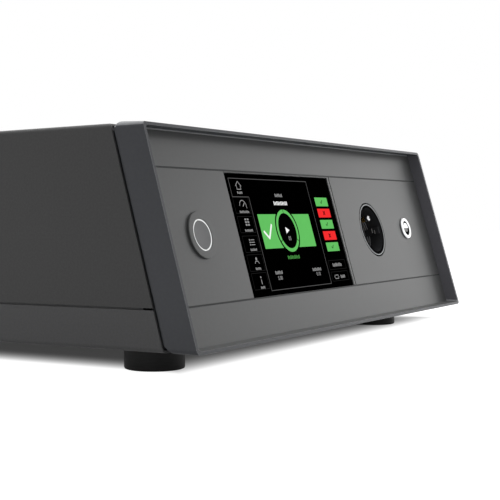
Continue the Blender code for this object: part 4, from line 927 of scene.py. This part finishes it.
@dataclass
class Picture:
    """The symbols on the lit display, placed by x from the tester's left side and slope height.

    Each mark lies on a layer: 0 is the lowest, and each other is one lift further forward. Words
    are (x, z, width, height, letters) and figures are (digits, x, z, height).
    """

    half_width: float
    face: float = 0.6
    lift: float = 0.05
    thickness: float = 0.04
    line: float = 0.45
    faint_line: float = 0.3
    symbol_line: float = 0.5
    mark_round: float = 0.3
    tile_round: float = 0.2
    letter_round: float = 0.15
    letter_start: float = 0.14
    letter_share: float = 0.56
    letter_drop: float = 0.18
    font_height: float = 0.7
    border: Profile = (
        (103.6, 97.0),
        (126.0, 97.0),
        (126.0, 31.0),
        (220.0, 31.0),
        (220.0, 110.0),
        (103.6, 110.0),
        (103.6, 97.0),
    )
    menu_x: float = 115.0
    menu_strokes: tuple[tuple[float, Profile], ...] = (
        (1.0, ((-3.8, 104.7), (0.0, 107.9), (3.8, 104.7))),
        (1.0, ((-2.6, 104.9), (-2.6, 102.3), (2.6, 102.3), (2.6, 104.9))),
        (1.4, ((0.0, 90.4), (2.4, 92.6))),
        (1.0, ((-2.8, 50.4), (-1.6, 52.0), (1.6, 52.0), (2.8, 50.4))),
        (1.6, ((0.0, 36.4), (0.0, 39.0))),
    )
    menu_discs: Profile = ((53.6, 1.1), (40.9, 0.7))
    dial_height: float = 90.0
    dial_radius: float = 4.6
    dial_turn: tuple[int, int, int] = (-10, 200, 30)
    tile_columns: Profile = ((-2.7, -0.5), (0.5, 2.7))
    tile_low: float = 77.3
    tile_pitch: float = 1.9
    tile_half: float = 0.6
    list_low: float = 63.4
    list_pitch: float = 1.7
    list_line: Pair = (-1.2, 3.4)
    list_dot: Pair = (-3.4, -2.2)
    list_dot_half: float = 0.5
    menu_word_height: float = 1.7
    menu_words: tuple[tuple[float, float, int], ...] = (
        (99.9, 7.4, 4),
        (86.4, 13.0, 8),
        (73.4, 11.0, 7),
        (60.0, 9.0, 6),
        (46.9, 7.6, 5),
        (33.9, 6.0, 4),
    )
    menu_box_x: Pair = (103.4, 124.0)
    menu_box_half: float = 5.6
    menu_box_rows: tuple[float, ...] = (91.0, 77.5, 64.0, 51.0, 38.3)
    corner_box_x: Pair = (223.8, 252.6)
    corner_boxes: tuple[Pair, ...] = ((41.3, 48.2), (32.4, 39.4))
    soft_words: tuple[tuple[float, float, float, float, int], ...] = (
        (170.1, 98.6, 11.6, 2.4, 6),
        (142.4, 42.9, 11.0, 2.4, 6),
        (201.7, 42.7, 14.4, 2.3, 9),
        (237.8, 44.7, 16.0, 2.6, 8),
        (242.6, 35.4, 8.0, 2.4, 4),
    )
    title_word: tuple[float, float, float, float, int] = (170.3, 92.7, 21.0, 2.8, 10)
    green_word: tuple[float, float, float, float, int] = (170.2, 53.0, 18.6, 2.6, 9)
    loop: tuple[Profile, ...] = (
        ((229.4, 36.8), (228.2, 35.5), (229.4, 34.2), (234.4, 34.2), (235.4, 35.5)),
        ((235.4, 35.5), (234.4, 36.8), (230.4, 36.8)),
    )
    figures: tuple[tuple[str, float, float, float], ...] = (
        ("5.00", 142.4, 38.9, 2.7),
        ("0.10", 202.5, 39.1, 2.7),
    )
    count_offset: Pair = (0.5, -5.8)
    count_height: float = 3.0
    band_x: Pair = (131.7, 210.4)
    band_z: Pair = (60.0, 84.6)
    tick: Profile = ((135.6, 72.1), (141.2, 67.4), (148.2, 76.8))
    tick_line: float = 1.7
    arrow: Profile = ((-2.6, 2.7), (-2.6, -2.1), (2.7, 0.3))
    ring_middle: Pair = (170.7, 72.4)
    ring_radii: Triple = (13.0, 15.6, 17.2)
    ring_breaks: Triple = (90.0, 210.0, 330.0)
    ring_gap: float = 2.6
    ring_steps: int = 24
    cell_x: Pair = (227.6, 248.9)
    cell_count: int = 5
    cell_mark_x: float = 238.0
    cell_tall: float = 6.9
    cell_top: float = 94.2
    cell_pitch: float = 8.87
    cell_tick: Profile = ((-1.5, 0.0), (-0.5, -1.2), (1.6, 1.3))
    cell_tick_line: float = 0.6
    cell_cross: tuple[Profile, ...] = (((-1.2, -1.2), (1.2, 1.2)), ((-1.2, 1.2), (1.2, -1.2)))
    cell_cross_line: float = 0.9

    def front(self, layer: int) -> float:
        """Give the depth of the front face of a layer's marks."""
        return self.face - self.lift - layer * self.lift

    def flat(self, outline: Profile, layer: int) -> Shape:
        """Make a flat mark from its corners, whose x is from the middle."""
        return cut_sheet(outline, self.front(layer), self.thickness)

    def plaque(self, x: Pair, z: Pair, radius: float) -> Shape:
        """Make a flat mark with round corners on layer 1, whose x is from the left side."""
        ends = (x[0] - self.half_width, x[1] - self.half_width)
        return self.flat(rounded_outline(ends, z, radius), 1)

    def disc(self, x: float, z: float, radius: float, layer: int = 1, steps: int = 64) -> Shape:
        """Make a flat round mark."""
        front = self.front(layer)
        shape = turned(section(0, radius, front, front + self.thickness), steps=steps)
        return moved(shape, x - self.half_width, 0, z)

    def stroke(self, points: Profile, width: float, layer: int = 1) -> Shape:
        """Make a line of even width through some points, with round joints.

        Args:
            points: (x from the left side, z) points.
            width: width of the line.
            layer: which layer it lies on.

        Returns:
            The new mesh.
        """
        parts = []
        front = self.front(layer)
        for start, end in zip(points, points[1:]):
            run = math.hypot(end[0] - start[0], end[1] - start[1])
            slope = math.degrees(math.atan2(end[1] - start[1], end[0] - start[0]))
            bar = slab((0, run), (front, front + self.thickness), (-width / 2, width / 2))
            parts.append(moved(spun(bar, -slope), start[0] - self.half_width, 0, start[1]))
        parts += [self.disc(x, z, width / 2, layer, steps=16) for x, z in points]
        return merged(parts)

    def outlined(self, x: Pair, z: Pair) -> Shape:
        """Make a rectangle that is only a faint line."""
        corners = [(x[0], z[0]), (x[1], z[0]), (x[1], z[1]), (x[0], z[1]), (x[0], z[0])]
        return self.stroke(corners, self.faint_line, 0)

    def figure(self, digits: str, x: float, z: float, height: float, layer: int = 1) -> Shape:
        """Make plain digits, centred on a place.

        Args:
            digits: what they say.
            x: middle, from the left side.
            z: middle, up the slope.
            height: height of a digit.
            layer: which layer they lie on.

        Returns:
            The new mesh.
        """
        curve = bpy.data.curves.new("digits", "FONT")
        curve.body = digits
        curve.size = height * MM / self.font_height
        curve.align_x = "CENTER"
        curve.align_y = "CENTER"
        curve.extrude = self.thickness * MM / 2
        curve.resolution_u = 3
        holder = add_object("digits", curve)
        graph = bpy.context.evaluated_depsgraph_get()
        mesh = bpy.data.meshes.new_from_object(holder.evaluated_get(graph))
        bpy.data.objects.remove(holder)
        bpy.data.curves.remove(curve)
        shape = bmesh.new()
        shape.from_mesh(mesh)
        bpy.data.meshes.remove(mesh)
        bmesh.ops.remove_doubles(shape, verts=shape.verts, dist=WELD)
        spun(shape, 90, "X")
        return moved(shape, x - self.half_width, self.front(layer) + self.thickness / 2, z)

    def word(self, x: float, z: float, width: float, height: float, letters: int) -> Shape:
        """Make a row of plain blocks that stands for a word, centred on a place.

        Args:
            x: middle, from the left side.
            z: middle, up the slope.
            width: length of the row.
            height: height of the blocks. Each third one is lower.
            letters: how many blocks there are.

        Returns:
            The new mesh.
        """
        pitch = width / letters
        low, high = z - height / 2, z + height / 2
        blocks = []
        for index in range(letters):
            left = x - width / 2 + pitch * (index + self.letter_start)
            top = high - (height * self.letter_drop if index % 3 == 1 else 0.0)
            ends = (left, left + pitch * self.letter_share)
            blocks.append(self.plaque(ends, (low, top), self.letter_round))
        return merged(blocks)

    def arcs(self) -> Shape:
        """Make the progress ring with its three breaks."""
        inner, outer, _ = self.ring_radii
        front = self.front(3)
        corners = section(inner, outer, front, front + self.thickness)
        ends = (*self.ring_breaks[1:], self.ring_breaks[0] + 360)
        parts = []
        for start, end in zip(self.ring_breaks, ends):
            arc = bmesh.new()
            face = arc.faces.new([arc.verts.new((x * MM, y * MM, 0)) for x, y in corners])
            spun(arc, -(start + self.ring_gap / 2))
            bmesh.ops.spin(
                arc,
                geom=[face],
                cent=(0, 0, 0),
                axis=(0, 1, 0),
                angle=-math.radians(end - start - self.ring_gap),
                steps=self.ring_steps,
            )
            parts.append(arc)
        x, z = self.ring_middle
        return moved(merged(parts), x - self.half_width, 0, z)

    def menu_symbols(self) -> list[Shape]:
        """Make the six plain symbols down the left side, with a word under each.

        Returns:
            Their meshes.
        """
        x, thin = self.menu_x, self.symbol_line
        radius, height = self.dial_radius, self.dial_height
        turns = [math.radians(angle) for angle in range(*self.dial_turn)]
        dial = [(radius * math.cos(turn), height + radius * math.sin(turn)) for turn in turns]
        symbols = [
            self.stroke([(x + across, z) for across, z in points], thin * weight)
            for weight, points in (*self.menu_strokes, (1.0, dial))
        ]
        symbols += [self.disc(x, z, radius) for z, radius in self.menu_discs]
        for row in range(3):
            middle = self.tile_low + self.tile_pitch * row
            heights = (middle - self.tile_half, middle + self.tile_half)
            for left, right in self.tile_columns:
                symbols.append(self.plaque((x + left, x + right), heights, self.tile_round))
            middle = self.list_low + self.list_pitch * row
            heights = (middle - self.list_dot_half, middle + self.list_dot_half)
            symbols.append(self.stroke([(x + end, middle) for end in self.list_line], thin))
            dot = (x + self.list_dot[0], x + self.list_dot[1])
            symbols.append(self.plaque(dot, heights, self.tile_round))
        for z, width, letters in self.menu_words:
            symbols.append(self.word(x, z, width, self.menu_word_height, letters))
        return symbols

    def cell_mark(self, index: int, z: float) -> Shape:
        """Make the tick or the cross of one coloured cell."""
        strokes, width = (
            (self.cell_cross, self.cell_cross_line)
            if index % 2
            else ((self.cell_tick,), self.cell_tick_line)
        )
        middle = self.cell_mark_x
        return merged(
            self.stroke([(middle + across, z + up) for across, up in points], width, 2)
            for points in strokes
        )

    def build(self, bench: Bench) -> None:
        """Make the symbols, one piece for each colour.

        Args:
            bench: where they are finished.
        """
        ring_x, ring_z = self.ring_middle
        half = self.menu_box_half
        cells: tuple[list[Shape], list[Shape]] = ([], [])
        marks = []
        for index in range(self.cell_count):
            middle = self.cell_top - index * self.cell_pitch
            ends = (middle - self.cell_tall / 2, middle + self.cell_tall / 2)
            cells[index % 2].append(self.plaque(self.cell_x, ends, self.mark_round))
            marks.append(self.cell_mark(index, middle))
        green, red = cells
        green.append(self.plaque(self.band_x, self.band_z, self.mark_round))
        boxes = [self.outlined(self.menu_box_x, (z - half, z + half)) for z in self.menu_box_rows]
        boxes += [self.outlined(self.corner_box_x, heights) for heights in self.corner_boxes]
        count = (ring_x + self.count_offset[0], ring_z + self.count_offset[1], self.count_height)
        soft = [
            *self.menu_symbols(),
            *(self.word(*word) for word in self.soft_words),
            *(self.stroke(points, self.symbol_line) for points in self.loop),
            *(self.figure(*figure) for figure in self.figures),
            self.figure("05", *count, 3),
        ]
        arrow = [(ring_x + across - self.half_width, ring_z + up) for across, up in self.arrow]
        white = [
            self.word(*self.title_word),
            self.stroke(self.tick, self.tick_line, 2),
            self.flat(arrow, 3),
        ]
        for name, finish, shapes in (
            ("screen_green_marks", SCREEN_GREEN, green),
            ("screen_green_word", SCREEN_DULL_GREEN, [self.word(*self.green_word)]),
            ("screen_ring", SCREEN_GREEN, [self.arcs()]),
            ("screen_red_marks", SCREEN_RED, red),
            ("screen_border", SCREEN_LINE, [self.stroke(self.border, self.line, 0)]),
            ("screen_faint_boxes", SCREEN_DIM, boxes),
            ("screen_soft_marks", SCREEN_GREY, soft),
            ("screen_white_marks", SCREEN_WHITE, white),
            ("screen_halo", SCREEN_BLACK, [self.disc(ring_x, ring_z, self.ring_radii[2], 2)]),
            ("screen_cell_marks", SCREEN_BLACK, marks),
        ):
            bench.finish(merged(shapes), name, finish, Slot.GLASS, Datum.PANEL)


@dataclass
class Display:
    """Cover glass and the picture on it."""

    edge: float = 0.2

    def build(self, bench: Bench) -> None:
        """Make the glass and its picture.

        Args:
            bench: where they are finished.
        """
        bench.refine("touch_glass", SCREEN_GLASS, Slot.GLASS, self.edge)
        Picture(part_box("front_frame")[1].x / MM).build(bench)
        bench.dress("lcd_module", ZINC_STEEL)
        bench.dress("display_board", SOLDER_MASK)


@dataclass
class PushButton:
    """Start button: painted bezel, ring of light and a grey disc."""

    row: float
    bezel_radius: float = 15.4
    bezel_height: float = 1.6
    bezel_seat: float = -0.3
    bore: float = 10.5
    barrel: float = 12.3
    length: float = 22.0
    stem_bore: float = 3.8
    stem: float = 3.5
    floor: float = 1.2
    stem_rest: float = 1.5
    sunk: float = 0.3
    disc_radius: float = 9.35
    dish: tuple[Pair, ...] = ((0.0, 0.15), (0.6, 0.1))
    disc_height: float = 1.4
    cap_height: float = 5.4
    ring_inner: float = 9.65
    ring_outer: float = 10.25
    ring_edge: float = 0.15
    ring_height: float = 1.1
    rim_edge: float = 0.35
    rim_cut: float = 0.3
    edge: float = 0.25
    nut_edge: float = 0.2

    def build(self, bench: Bench) -> None:
        """Make the button's pieces.

        Args:
            bench: where they are finished.
        """
        place = (middle_of(*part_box("button_bezel")), self.row)
        bezel = turned(self.bezel_profile(), closed=True)
        cap = turned(self.cap_profile())
        ring = turned(self.ring_profile(), closed=True)
        fixed, moving = Body.HOUSING, Body.BUTTON
        for shape, name, finish, slot, body, node in (
            (bezel, "button_bezel_turned", PANEL_PAINT, Slot.PANEL, fixed, "button_bezel"),
            (cap, "button_cap_disc", BUTTON_PAINT, Slot.PANEL, moving, "button_cap"),
            (ring, "button_light_guide", RING_LIGHT, Slot.LIGHT, moving, "light_ring"),
        ):
            bench.mount(shape, place, name, finish, slot, body, [node])
        bench.refine("button_nut", ZINC_STEEL, Slot.STEEL, self.nut_edge)
        bench.dress("switch_block", BLACK_NYLON)

    def bezel_profile(self) -> Profile:
        """Give the section of the bezel, with its barrel and the floor that holds the stem."""
        top, rim = -self.bezel_height, self.rim_edge
        cut, floor = rim * self.rim_cut, self.length - self.floor
        return [
            (self.bore, top + self.edge),
            (self.bore + self.edge, top),
            (self.bezel_radius - rim, top),
            (self.bezel_radius - cut, top + cut),
            (self.bezel_radius, top + rim),
            (self.bezel_radius, self.bezel_seat),
            (self.barrel, self.bezel_seat),
            (self.barrel, self.length),
            (self.stem_bore, self.length),
            (self.stem_bore, floor),
            (self.bore, floor),
        ]

    def cap_profile(self) -> Profile:
        """Give the section of the cap: a shallow dish, the seat of the ring and the stem."""
        face = self.sunk - self.bezel_height
        end = self.length - self.stem_rest
        return [
            *((self.disc_radius * share, face + depth) for share, depth in self.dish),
            (self.disc_radius - self.edge, face),
            (self.disc_radius, face + self.edge),
            (self.disc_radius, face + self.disc_height),
            (self.ring_outer, face + self.disc_height),
            (self.ring_outer, face + self.cap_height),
            (self.stem, face + self.cap_height),
            (self.stem, end),
            (0, end),
        ]

    def ring_profile(self) -> Profile:
        """Give the section of the light guide."""
        face = self.sunk - self.bezel_height
        return [
            (self.ring_inner, face),
            (self.ring_outer - self.ring_edge, face),
            (self.ring_outer, face + self.ring_edge),
            (self.ring_outer, face + self.ring_height),
            (self.ring_inner, face + self.ring_height),
        ]


@dataclass
class TestSocket:
    """Household test socket with its nickel ring, moulded body and earth pin."""

    row: float
    edge: float = 0.2
    contact_edge: float = 0.1
    ring_seat: Pair = (20.3, 22.1)
    ring_face: Pair = (20.75, 21.65)
    ring_step: float = 0.45
    ring_back: float = 4.0
    ring_edge: float = 0.12
    rim_depth: float = 0.35
    wall: float = 18.8
    steps: tuple[Pair, ...] = ((11.6, 17.7), (13.1, 17.0), (14.4, 16.2))
    step_thickness: float = 0.35
    pin_radius: float = 2.4
    pin_dome: tuple[Pair, ...] = ((0.0, 0.0), (0.5, 0.2), (0.87, 0.75), (1.0, 1.5))
    pin_split: float = 3.4
    pin_back: float = 31.0
    pin_undercut: float = 0.1
    pin_mark: float = 0.6
    mark_depth: Pair = (-0.04, 0.3)
    key_highlight_x: Pair = (16.1, 17.0)
    key_highlight_width: float = 0.5
    key_highlight_edge: float = 0.1
    key_highlights: tuple[tuple[float, Pair], ...] = ((5.3, (-2.2, 0.6)), (7.3, (-1.3, 2.6)))

    def build(self, bench: Bench) -> None:
        """Make the socket's pieces.

        Args:
            bench: where they are finished.
        """
        place = (middle_of(*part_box("test_socket_ring")), self.row)
        self.build_ring(bench, place)
        # The body's walls take the lighter recess colour: painted light inside the recess.
        body = bench.refine("test_socket_body", RECESS_NYLON_PAINTED_LIGHT, Slot.BLACK_PLASTIC, self.edge)
        # Its front rim takes the matt black: painted shade that draws the ring's dark outline.
        body.data.materials.append(BLACK_AND_PAINTED_SHADE.material())
        to_panel = bench.datum(Datum.PANEL).inverted()
        for face in body.data.polygons:
            face.material_index = int((to_panel @ face.center).y < self.rim_depth * MM)
        # Pale step rings deep in the socket: painted reflections on its dark wall.
        rings = [
            turned(section(inner, self.wall, depth, depth + self.step_thickness), closed=True)
            for depth, inner in self.steps
        ]
        # Thin white strips on the edges of the key inside the socket: painted highlights.
        key_highlights = [
            slab(self.key_highlight_x, (depth, depth + self.key_highlight_width), heights, self.key_highlight_edge)
            for depth, heights in self.key_highlights
        ]
        for shapes, name, finish in (
            (rings, "test_socket_steps", STEP_RINGS_PAINTED_GLINT),
            (key_highlights, "test_socket_key_highlights", KEY_EDGE_PAINTED_HIGHLIGHT),
        ):
            bench.mount(merged(shapes), place, name, finish, Slot.BLACK_PLASTIC)
        self.build_pin(bench)
        for node in ("contact_line", "contact_neutral"):
            bench.refine(node, BARE_BRASS, Slot.BRASS, self.contact_edge)

    def build_ring(self, bench: Bench, place: Pair) -> None:
        """Make the nickel ring: a thin bright face on a black stepped seat, painted shade in its
        gaps.

        Args:
            bench: where its pieces are finished.
            place: the socket's middle on the panel.
        """
        inner, outer = self.ring_face
        edge, back = self.ring_edge, self.ring_back
        face = turned(
            [
                (inner, edge),
                (inner + edge, 0),
                (outer - edge, 0),
                (outer, edge),
                (outer, back),
                (inner, back),
            ],
            closed=True,
        )
        name = "test_socket_ring"
        bench.mount(face, place, f"{name}_face", SATIN_NICKEL, Slot.CHROME, replaces=[name])
        seat = turned(section(*self.ring_seat, self.ring_step, back), closed=True)
        bench.mount(seat, place, f"{name}_seat", BLACK_AND_PAINTED_SHADE, Slot.BLACK_PLASTIC)

    def build_pin(self, bench: Bench) -> None:
        """Make the earth pin: a nickel tip with a dimple's shade painted at its centre, on a brass
        shaft.

        Args:
            bench: where its pieces are finished.
        """
        low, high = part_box("earth_pin")
        middle = bench.datum(Datum.PANEL).inverted() @ ((low + high) / 2) / MM
        radius, split = self.pin_radius, self.pin_split
        dome = [(radius * share, depth) for share, depth in self.pin_dome]
        shaft = section(0, radius - self.pin_undercut, split, self.pin_back)
        mark = section(0, self.pin_mark, *self.mark_depth)
        for profile, name, finish, replaced in (
            ([*dome, (radius, split), (0, split)], "earth_pin_tip", BRIGHT_NICKEL, ["earth_pin"]),
            (shaft, "earth_pin_shaft", BARE_BRASS, []),
            (mark, "earth_pin_painted_dimple_shade", BLACK_AND_PAINTED_SHADE, []),
        ):
            shape = turned(profile, steps=48)
            place = (middle.x, middle.z)
            bench.mount(shape, place, name, finish, Slot.CHROME, replaces=replaced)


@dataclass
class ProbeSocket:
    """Small push-pull socket for the test probes."""

    row: float
    edge: float = 0.15
    nut_edge: float = 0.2
    pin_edge: float = 0.1
    core_radius: float = 6.1
    core_face: float = -0.4
    core_back: float = 19.7
    shutter_radius: float = 4.85
    shutter_heights: Pair = (0.1, 4.6)
    shutter_face: float = -1.1
    shutter_thickness: float = 3.0
    key_radius: float = 3.9
    key_heights: Pair = (-3.1, 0.0)
    key_face: float = -0.7
    key_thickness: float = 2.6
    side_steps: int = 8
    least_reach: float = 0.2

    def half_disc(self, radius: float, heights: Pair) -> Profile:
        """Give the outline of a disc between two heights from its middle."""
        low, high = heights
        points = []
        for start, end, side in ((low, high, 1), (high, low, -1)):
            for step in range(self.side_steps + 1):
                height = start + (end - start) * step / self.side_steps
                reach = math.sqrt(max(radius**2 - height**2, self.least_reach**2))
                points.append((side * reach, height))
        return points

    def build(self, bench: Bench) -> None:
        """Make the socket's pieces.

        Args:
            bench: where they are finished.
        """
        place = (middle_of(*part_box("probe_socket_shell")), self.row)
        bench.refine("probe_socket_shell", BRIGHT_NICKEL, Slot.CHROME, self.edge)
        core = turned(section(0, self.core_radius, self.core_face, self.core_back))
        shutter = self.half_disc(self.shutter_radius, self.shutter_heights)
        key = self.half_disc(self.key_radius, self.key_heights)
        shutter = cut_sheet(shutter, self.shutter_face, self.shutter_thickness)
        key = cut_sheet(key, self.key_face, self.key_thickness)
        for shape, name, finish, replaced in (
            (core, "probe_socket_core", BLACK_AND_PAINTED_SHADE, ["probe_socket_insert"]),
            (shutter, "probe_socket_shutter", BRIGHT_NICKEL, []),
            (key, "probe_socket_key", PALE_INSULATOR, []),
        ):
            bench.mount(shape, place, name, finish, Slot.WHITE_PLASTIC, replaces=replaced)
        bench.refine("probe_socket_nut", ZINC_STEEL, Slot.STEEL, self.nut_edge)
        for node in ("probe_pin_left", "probe_pin_right"):
            bench.refine(node, BARE_BRASS, Slot.BRASS, self.pin_edge)


@dataclass
class RearEquipment:
    """Rear panel with the mains inlet, fuse drawer, mains rocker, fan, earth stud and ports."""

    edge: float = 0.2
    port_edge: float = 0.1
    screw_edge: float = 0.15

    def build(self, bench: Bench) -> None:
        """Make the pieces at the back.

        Args:
            bench: where they are finished.
        """
        bench.refine("rear_panel", POWDER_COAT, Slot.COVER, self.edge)
        for node, body in (
            ("inlet_body", Body.HOUSING),
            ("fuse_drawer", Body.DRAWER),
            ("switch_frame", Body.HOUSING),
            ("mains_rocker", Body.ROCKER),
            ("fan_frame", Body.HOUSING),
            ("fan_rotor", Body.FAN),
        ):
            bench.refine(node, BLACK_NYLON, Slot.BLACK_PLASTIC, self.edge, body)
        bench.refine("fan_guard", BRIGHT_NICKEL, Slot.CHROME, 0.0)
        for node in ("earth_stud", "earth_nut"):
            bench.refine(node, BARE_BRASS, Slot.BRASS, self.edge)
        for node in ("lan_port", "usb_port", "io_connector"):
            bench.refine(node, ZINC_STEEL, Slot.STEEL, self.port_edge)
        for screw in ("left_low", "left_high", "right_low", "right_high"):
            bench.refine(f"panel_screw_{screw}", ZINC_STEEL, Slot.STEEL, self.screw_edge)


@dataclass
class InnerUnits:
    """What the closed housing holds."""

    def build(self, bench: Bench) -> None:
        """Dress the units inside.

        Args:
            bench: where they are finished.
        """
        for node, finish in (
            ("side_rail_left", BARE_ALUMINIUM),
            ("side_rail_right", BARE_ALUMINIUM),
            ("main_board", SOLDER_MASK),
            ("transformer_core", CORE_LAMINATION),
            ("transformer_coil", ENAMELLED_COPPER),
            ("power_supply", BARE_ALUMINIUM),
            ("high_voltage_module", BLACK_NYLON),
            ("heat_sink", BARE_ALUMINIUM),
        ):
            bench.dress(node, finish)


@dataclass(frozen=True)
class Lamp:
    """A soft square lamp: power in watts, length of a side, place and target in metres."""

    name: str
    power: float
    size: float
    place: Triple
    target: Triple = (0.1, -0.16, 0.08)

    def hang(self) -> None:
        """Put the lamp into the scene, turned to its target."""
        lamp = bpy.data.lights.new(self.name, "AREA")
        lamp.shape = "SQUARE"
        lamp.size = self.size
        lamp.energy = self.power
        holder = add_object(self.name, lamp)
        holder.location = self.place
        towards = Vector(self.target) - Vector(self.place)
        holder.rotation_euler = towards.to_track_quat("-Z", "Y").to_euler()


@dataclass
class Studio:
    """Floor, light and the camera at the photograph's angle.

    The top lamp lights the cover and the floor, the key lamp the right end of the front, the low
    side lamp far at the right the panel at a flat angle, and the front lamp the frame's faces.
    """

    camera_place: Triple = (-778.59, -539.13, 95.28)
    yaw: float = 56.1115
    pitch: float = -0.8895
    roll: float = -0.6192
    lens: float = 81.607
    sensor: float = 36.0
    shift: Pair = (0.18949, -0.09647)
    clip: Pair = (0.01, 50.0)
    floor_size: float = 12000.0
    floor_bounce: float = 0.45
    floor_gloss: float = 1.2
    shade_start: float = 33.0
    shade_end: float = 90.0
    shade_drift: float = 75.0
    gloss_clear: float = 190.0
    shade_depth: float = 0.05
    shade_curve: float = 3.0
    world_strength: float = 0.16
    glossy_strength: float = 1.03
    lamps: tuple[Lamp, ...] = (
        Lamp("top_lamp", 12.0, 1.0, (0.0, 0.25, 1.6), (0.0, 0.05, 0.15)),
        Lamp("key_lamp", 0.22, 0.35, (0.6, -0.55, 0.3)),
        Lamp("side_lamp", 1.1, 0.6, (1.64, -0.62, 0.31)),
        Lamp("front_lamp", 0.7, 1.0, (0.2, -1.0, 1.5)),
    )

    def build(self) -> None:
        """Make the room, the lamps and the camera."""
        self.build_floor()
        self.build_world()
        for lamp in self.lamps:
            lamp.hang()
        self.build_camera()

    def build_floor(self) -> None:
        """Lay the white floor, with a shadow painted under the tester."""
        shape = bmesh.new()
        bmesh.ops.create_grid(shape, x_segments=1, y_segments=1, size=self.floor_size * MM / 2)
        mesh = bpy.data.meshes.new("studio_floor")
        shape.to_mesh(mesh)
        shape.free()
        material = bpy.data.materials.new("studio_floor_paper")
        material.use_nodes = True
        self.fill_floor(material.node_tree)
        mesh.materials.append(material)
        floor = add_object("studio_floor", mesh)
        floor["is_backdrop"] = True

    def fill_floor(self, tree: bpy.types.NodeTree) -> None:
        """Build the floor's nodes: white paper that glows to the camera, with a painted shadow
        under the tester.

        Args:
            tree: the new material's tree, which is emptied first.
        """
        tree.nodes.clear()
        seen = add_node(tree, "LightPath").outputs
        low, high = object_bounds()
        # The painted shadow: a box round the tester, stretched further to its right by shade_drift,
        # in which the camera's floor darkens from shade_start to shade_end inside its edge.
        drift = self.shade_drift * MM / 2
        half = ((high[0] - low[0]) / 2 + drift, (high[1] - low[1]) / 2, 0.0)
        place = add_node(tree, "TexCoord").outputs["Object"]
        centred = maths(tree, "SUBTRACT", place, (drift, 0, 0), kind="VectorMath")
        folded = maths(tree, "ABSOLUTE", centred, kind="VectorMath")
        inset = maths(tree, "SUBTRACT", folded, half, kind="VectorMath")
        parts = add_node(tree, "SeparateXYZ", {"Vector": inset}).outputs
        outside = maths(tree, "MAXIMUM", parts["X"], parts["Y"])
        shade_end, shade_start = -self.shade_end * MM, -self.shade_start * MM
        nearness = ranged(tree, outside, from_min=shade_end, from_max=shade_start)
        eased = maths(tree, "POWER", nearness, self.shade_curve)
        pale = ranged(tree, eased, to_min=self.shade_depth, to_max=1.0)
        shown = maths(tree, "MULTIPLY", pale, seen["Is Camera Ray"])
        # Glossy rays see the floor dark near the tester, out to gloss_clear beyond its edge:
        # painted shade in what its lower edges and feet mirror.
        clear = self.gloss_clear * MM
        far = ranged(tree, outside, from_min=shade_end, from_max=clear, to_max=self.floor_gloss)
        lit = maths(tree, "MULTIPLY_ADD", far, seen["Is Glossy Ray"], shown)
        lift = add_node(tree, "Emission", {"Strength": lit})
        paper = add_node(tree, "BsdfDiffuse", {"Color": (*[self.floor_bounce] * 3, 1.0)})
        shaders = {0: paper.outputs["BSDF"], 1: lift.outputs["Emission"]}
        both = add_node(tree, "AddShader", shaders)
        add_node(tree, "OutputMaterial", {"Surface": both.outputs["Shader"]})

    def build_world(self) -> None:
        """Make the even surround: white to the camera, and dimmer as a light."""
        world = bpy.data.worlds.new("studio_surround")
        bpy.context.scene.world = world
        world.use_nodes = True
        tree = world.node_tree
        tree.nodes.clear()
        seen = add_node(tree, "LightPath").outputs
        strength = ranged(tree, seen["Is Camera Ray"], to_min=self.world_strength, to_max=1.0)
        mirrored = ranged(tree, seen["Is Glossy Ray"], to_min=0.0, to_max=self.glossy_strength)
        both = maths(tree, "MAXIMUM", strength, mirrored)
        sky = add_node(tree, "Background", {"Color": (1, 1, 1, 1), "Strength": both})
        add_node(tree, "OutputWorld", {"Surface": sky.outputs["Background"]})

    def build_camera(self) -> None:
        """Set the camera by its place, turn, tilt and roll."""
        lens = bpy.data.cameras.new("photo_camera")
        lens.lens = self.lens
        lens.sensor_width = self.sensor
        lens.shift_x, lens.shift_y = self.shift
        lens.clip_start, lens.clip_end = self.clip
        yaw, pitch, roll = (math.radians(angle) for angle in (self.yaw, self.pitch, self.roll))
        ahead = Vector(
            (math.sin(yaw) * math.cos(pitch), math.cos(yaw) * math.cos(pitch), -math.sin(pitch))
        )
        level = Vector((math.cos(yaw), -math.sin(yaw), 0))
        upright = level.cross(ahead)
        right = level * math.cos(roll) + upright * math.sin(roll)
        up = upright * math.cos(roll) - level * math.sin(roll)
        turn = Matrix((right, up, -ahead)).transposed().to_4x4()
        camera = add_object("photo_camera", lens)
        camera.matrix_world = Matrix.Translation(Vector(self.camera_place) * MM) @ turn
        bpy.context.scene.camera = camera


def main() -> None:
    logging.basicConfig(level=logging.INFO, format="%(name)s %(message)s")
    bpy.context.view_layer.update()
    bench = Bench()
    row = bench.control_row()
    for part in (
        Housing(),
        FrontPlates(),
        Display(),
        PushButton(row),
        TestSocket(row),
        ProbeSocket(row),
        RearEquipment(),
        InnerUnits(),
    ):
        part.build(bench)
    Studio().build()
    bpy.context.scene.view_settings.view_transform = "Standard"
    log.info("%d pieces made", len(bench.made))


if __name__ == "__main__":
    main()
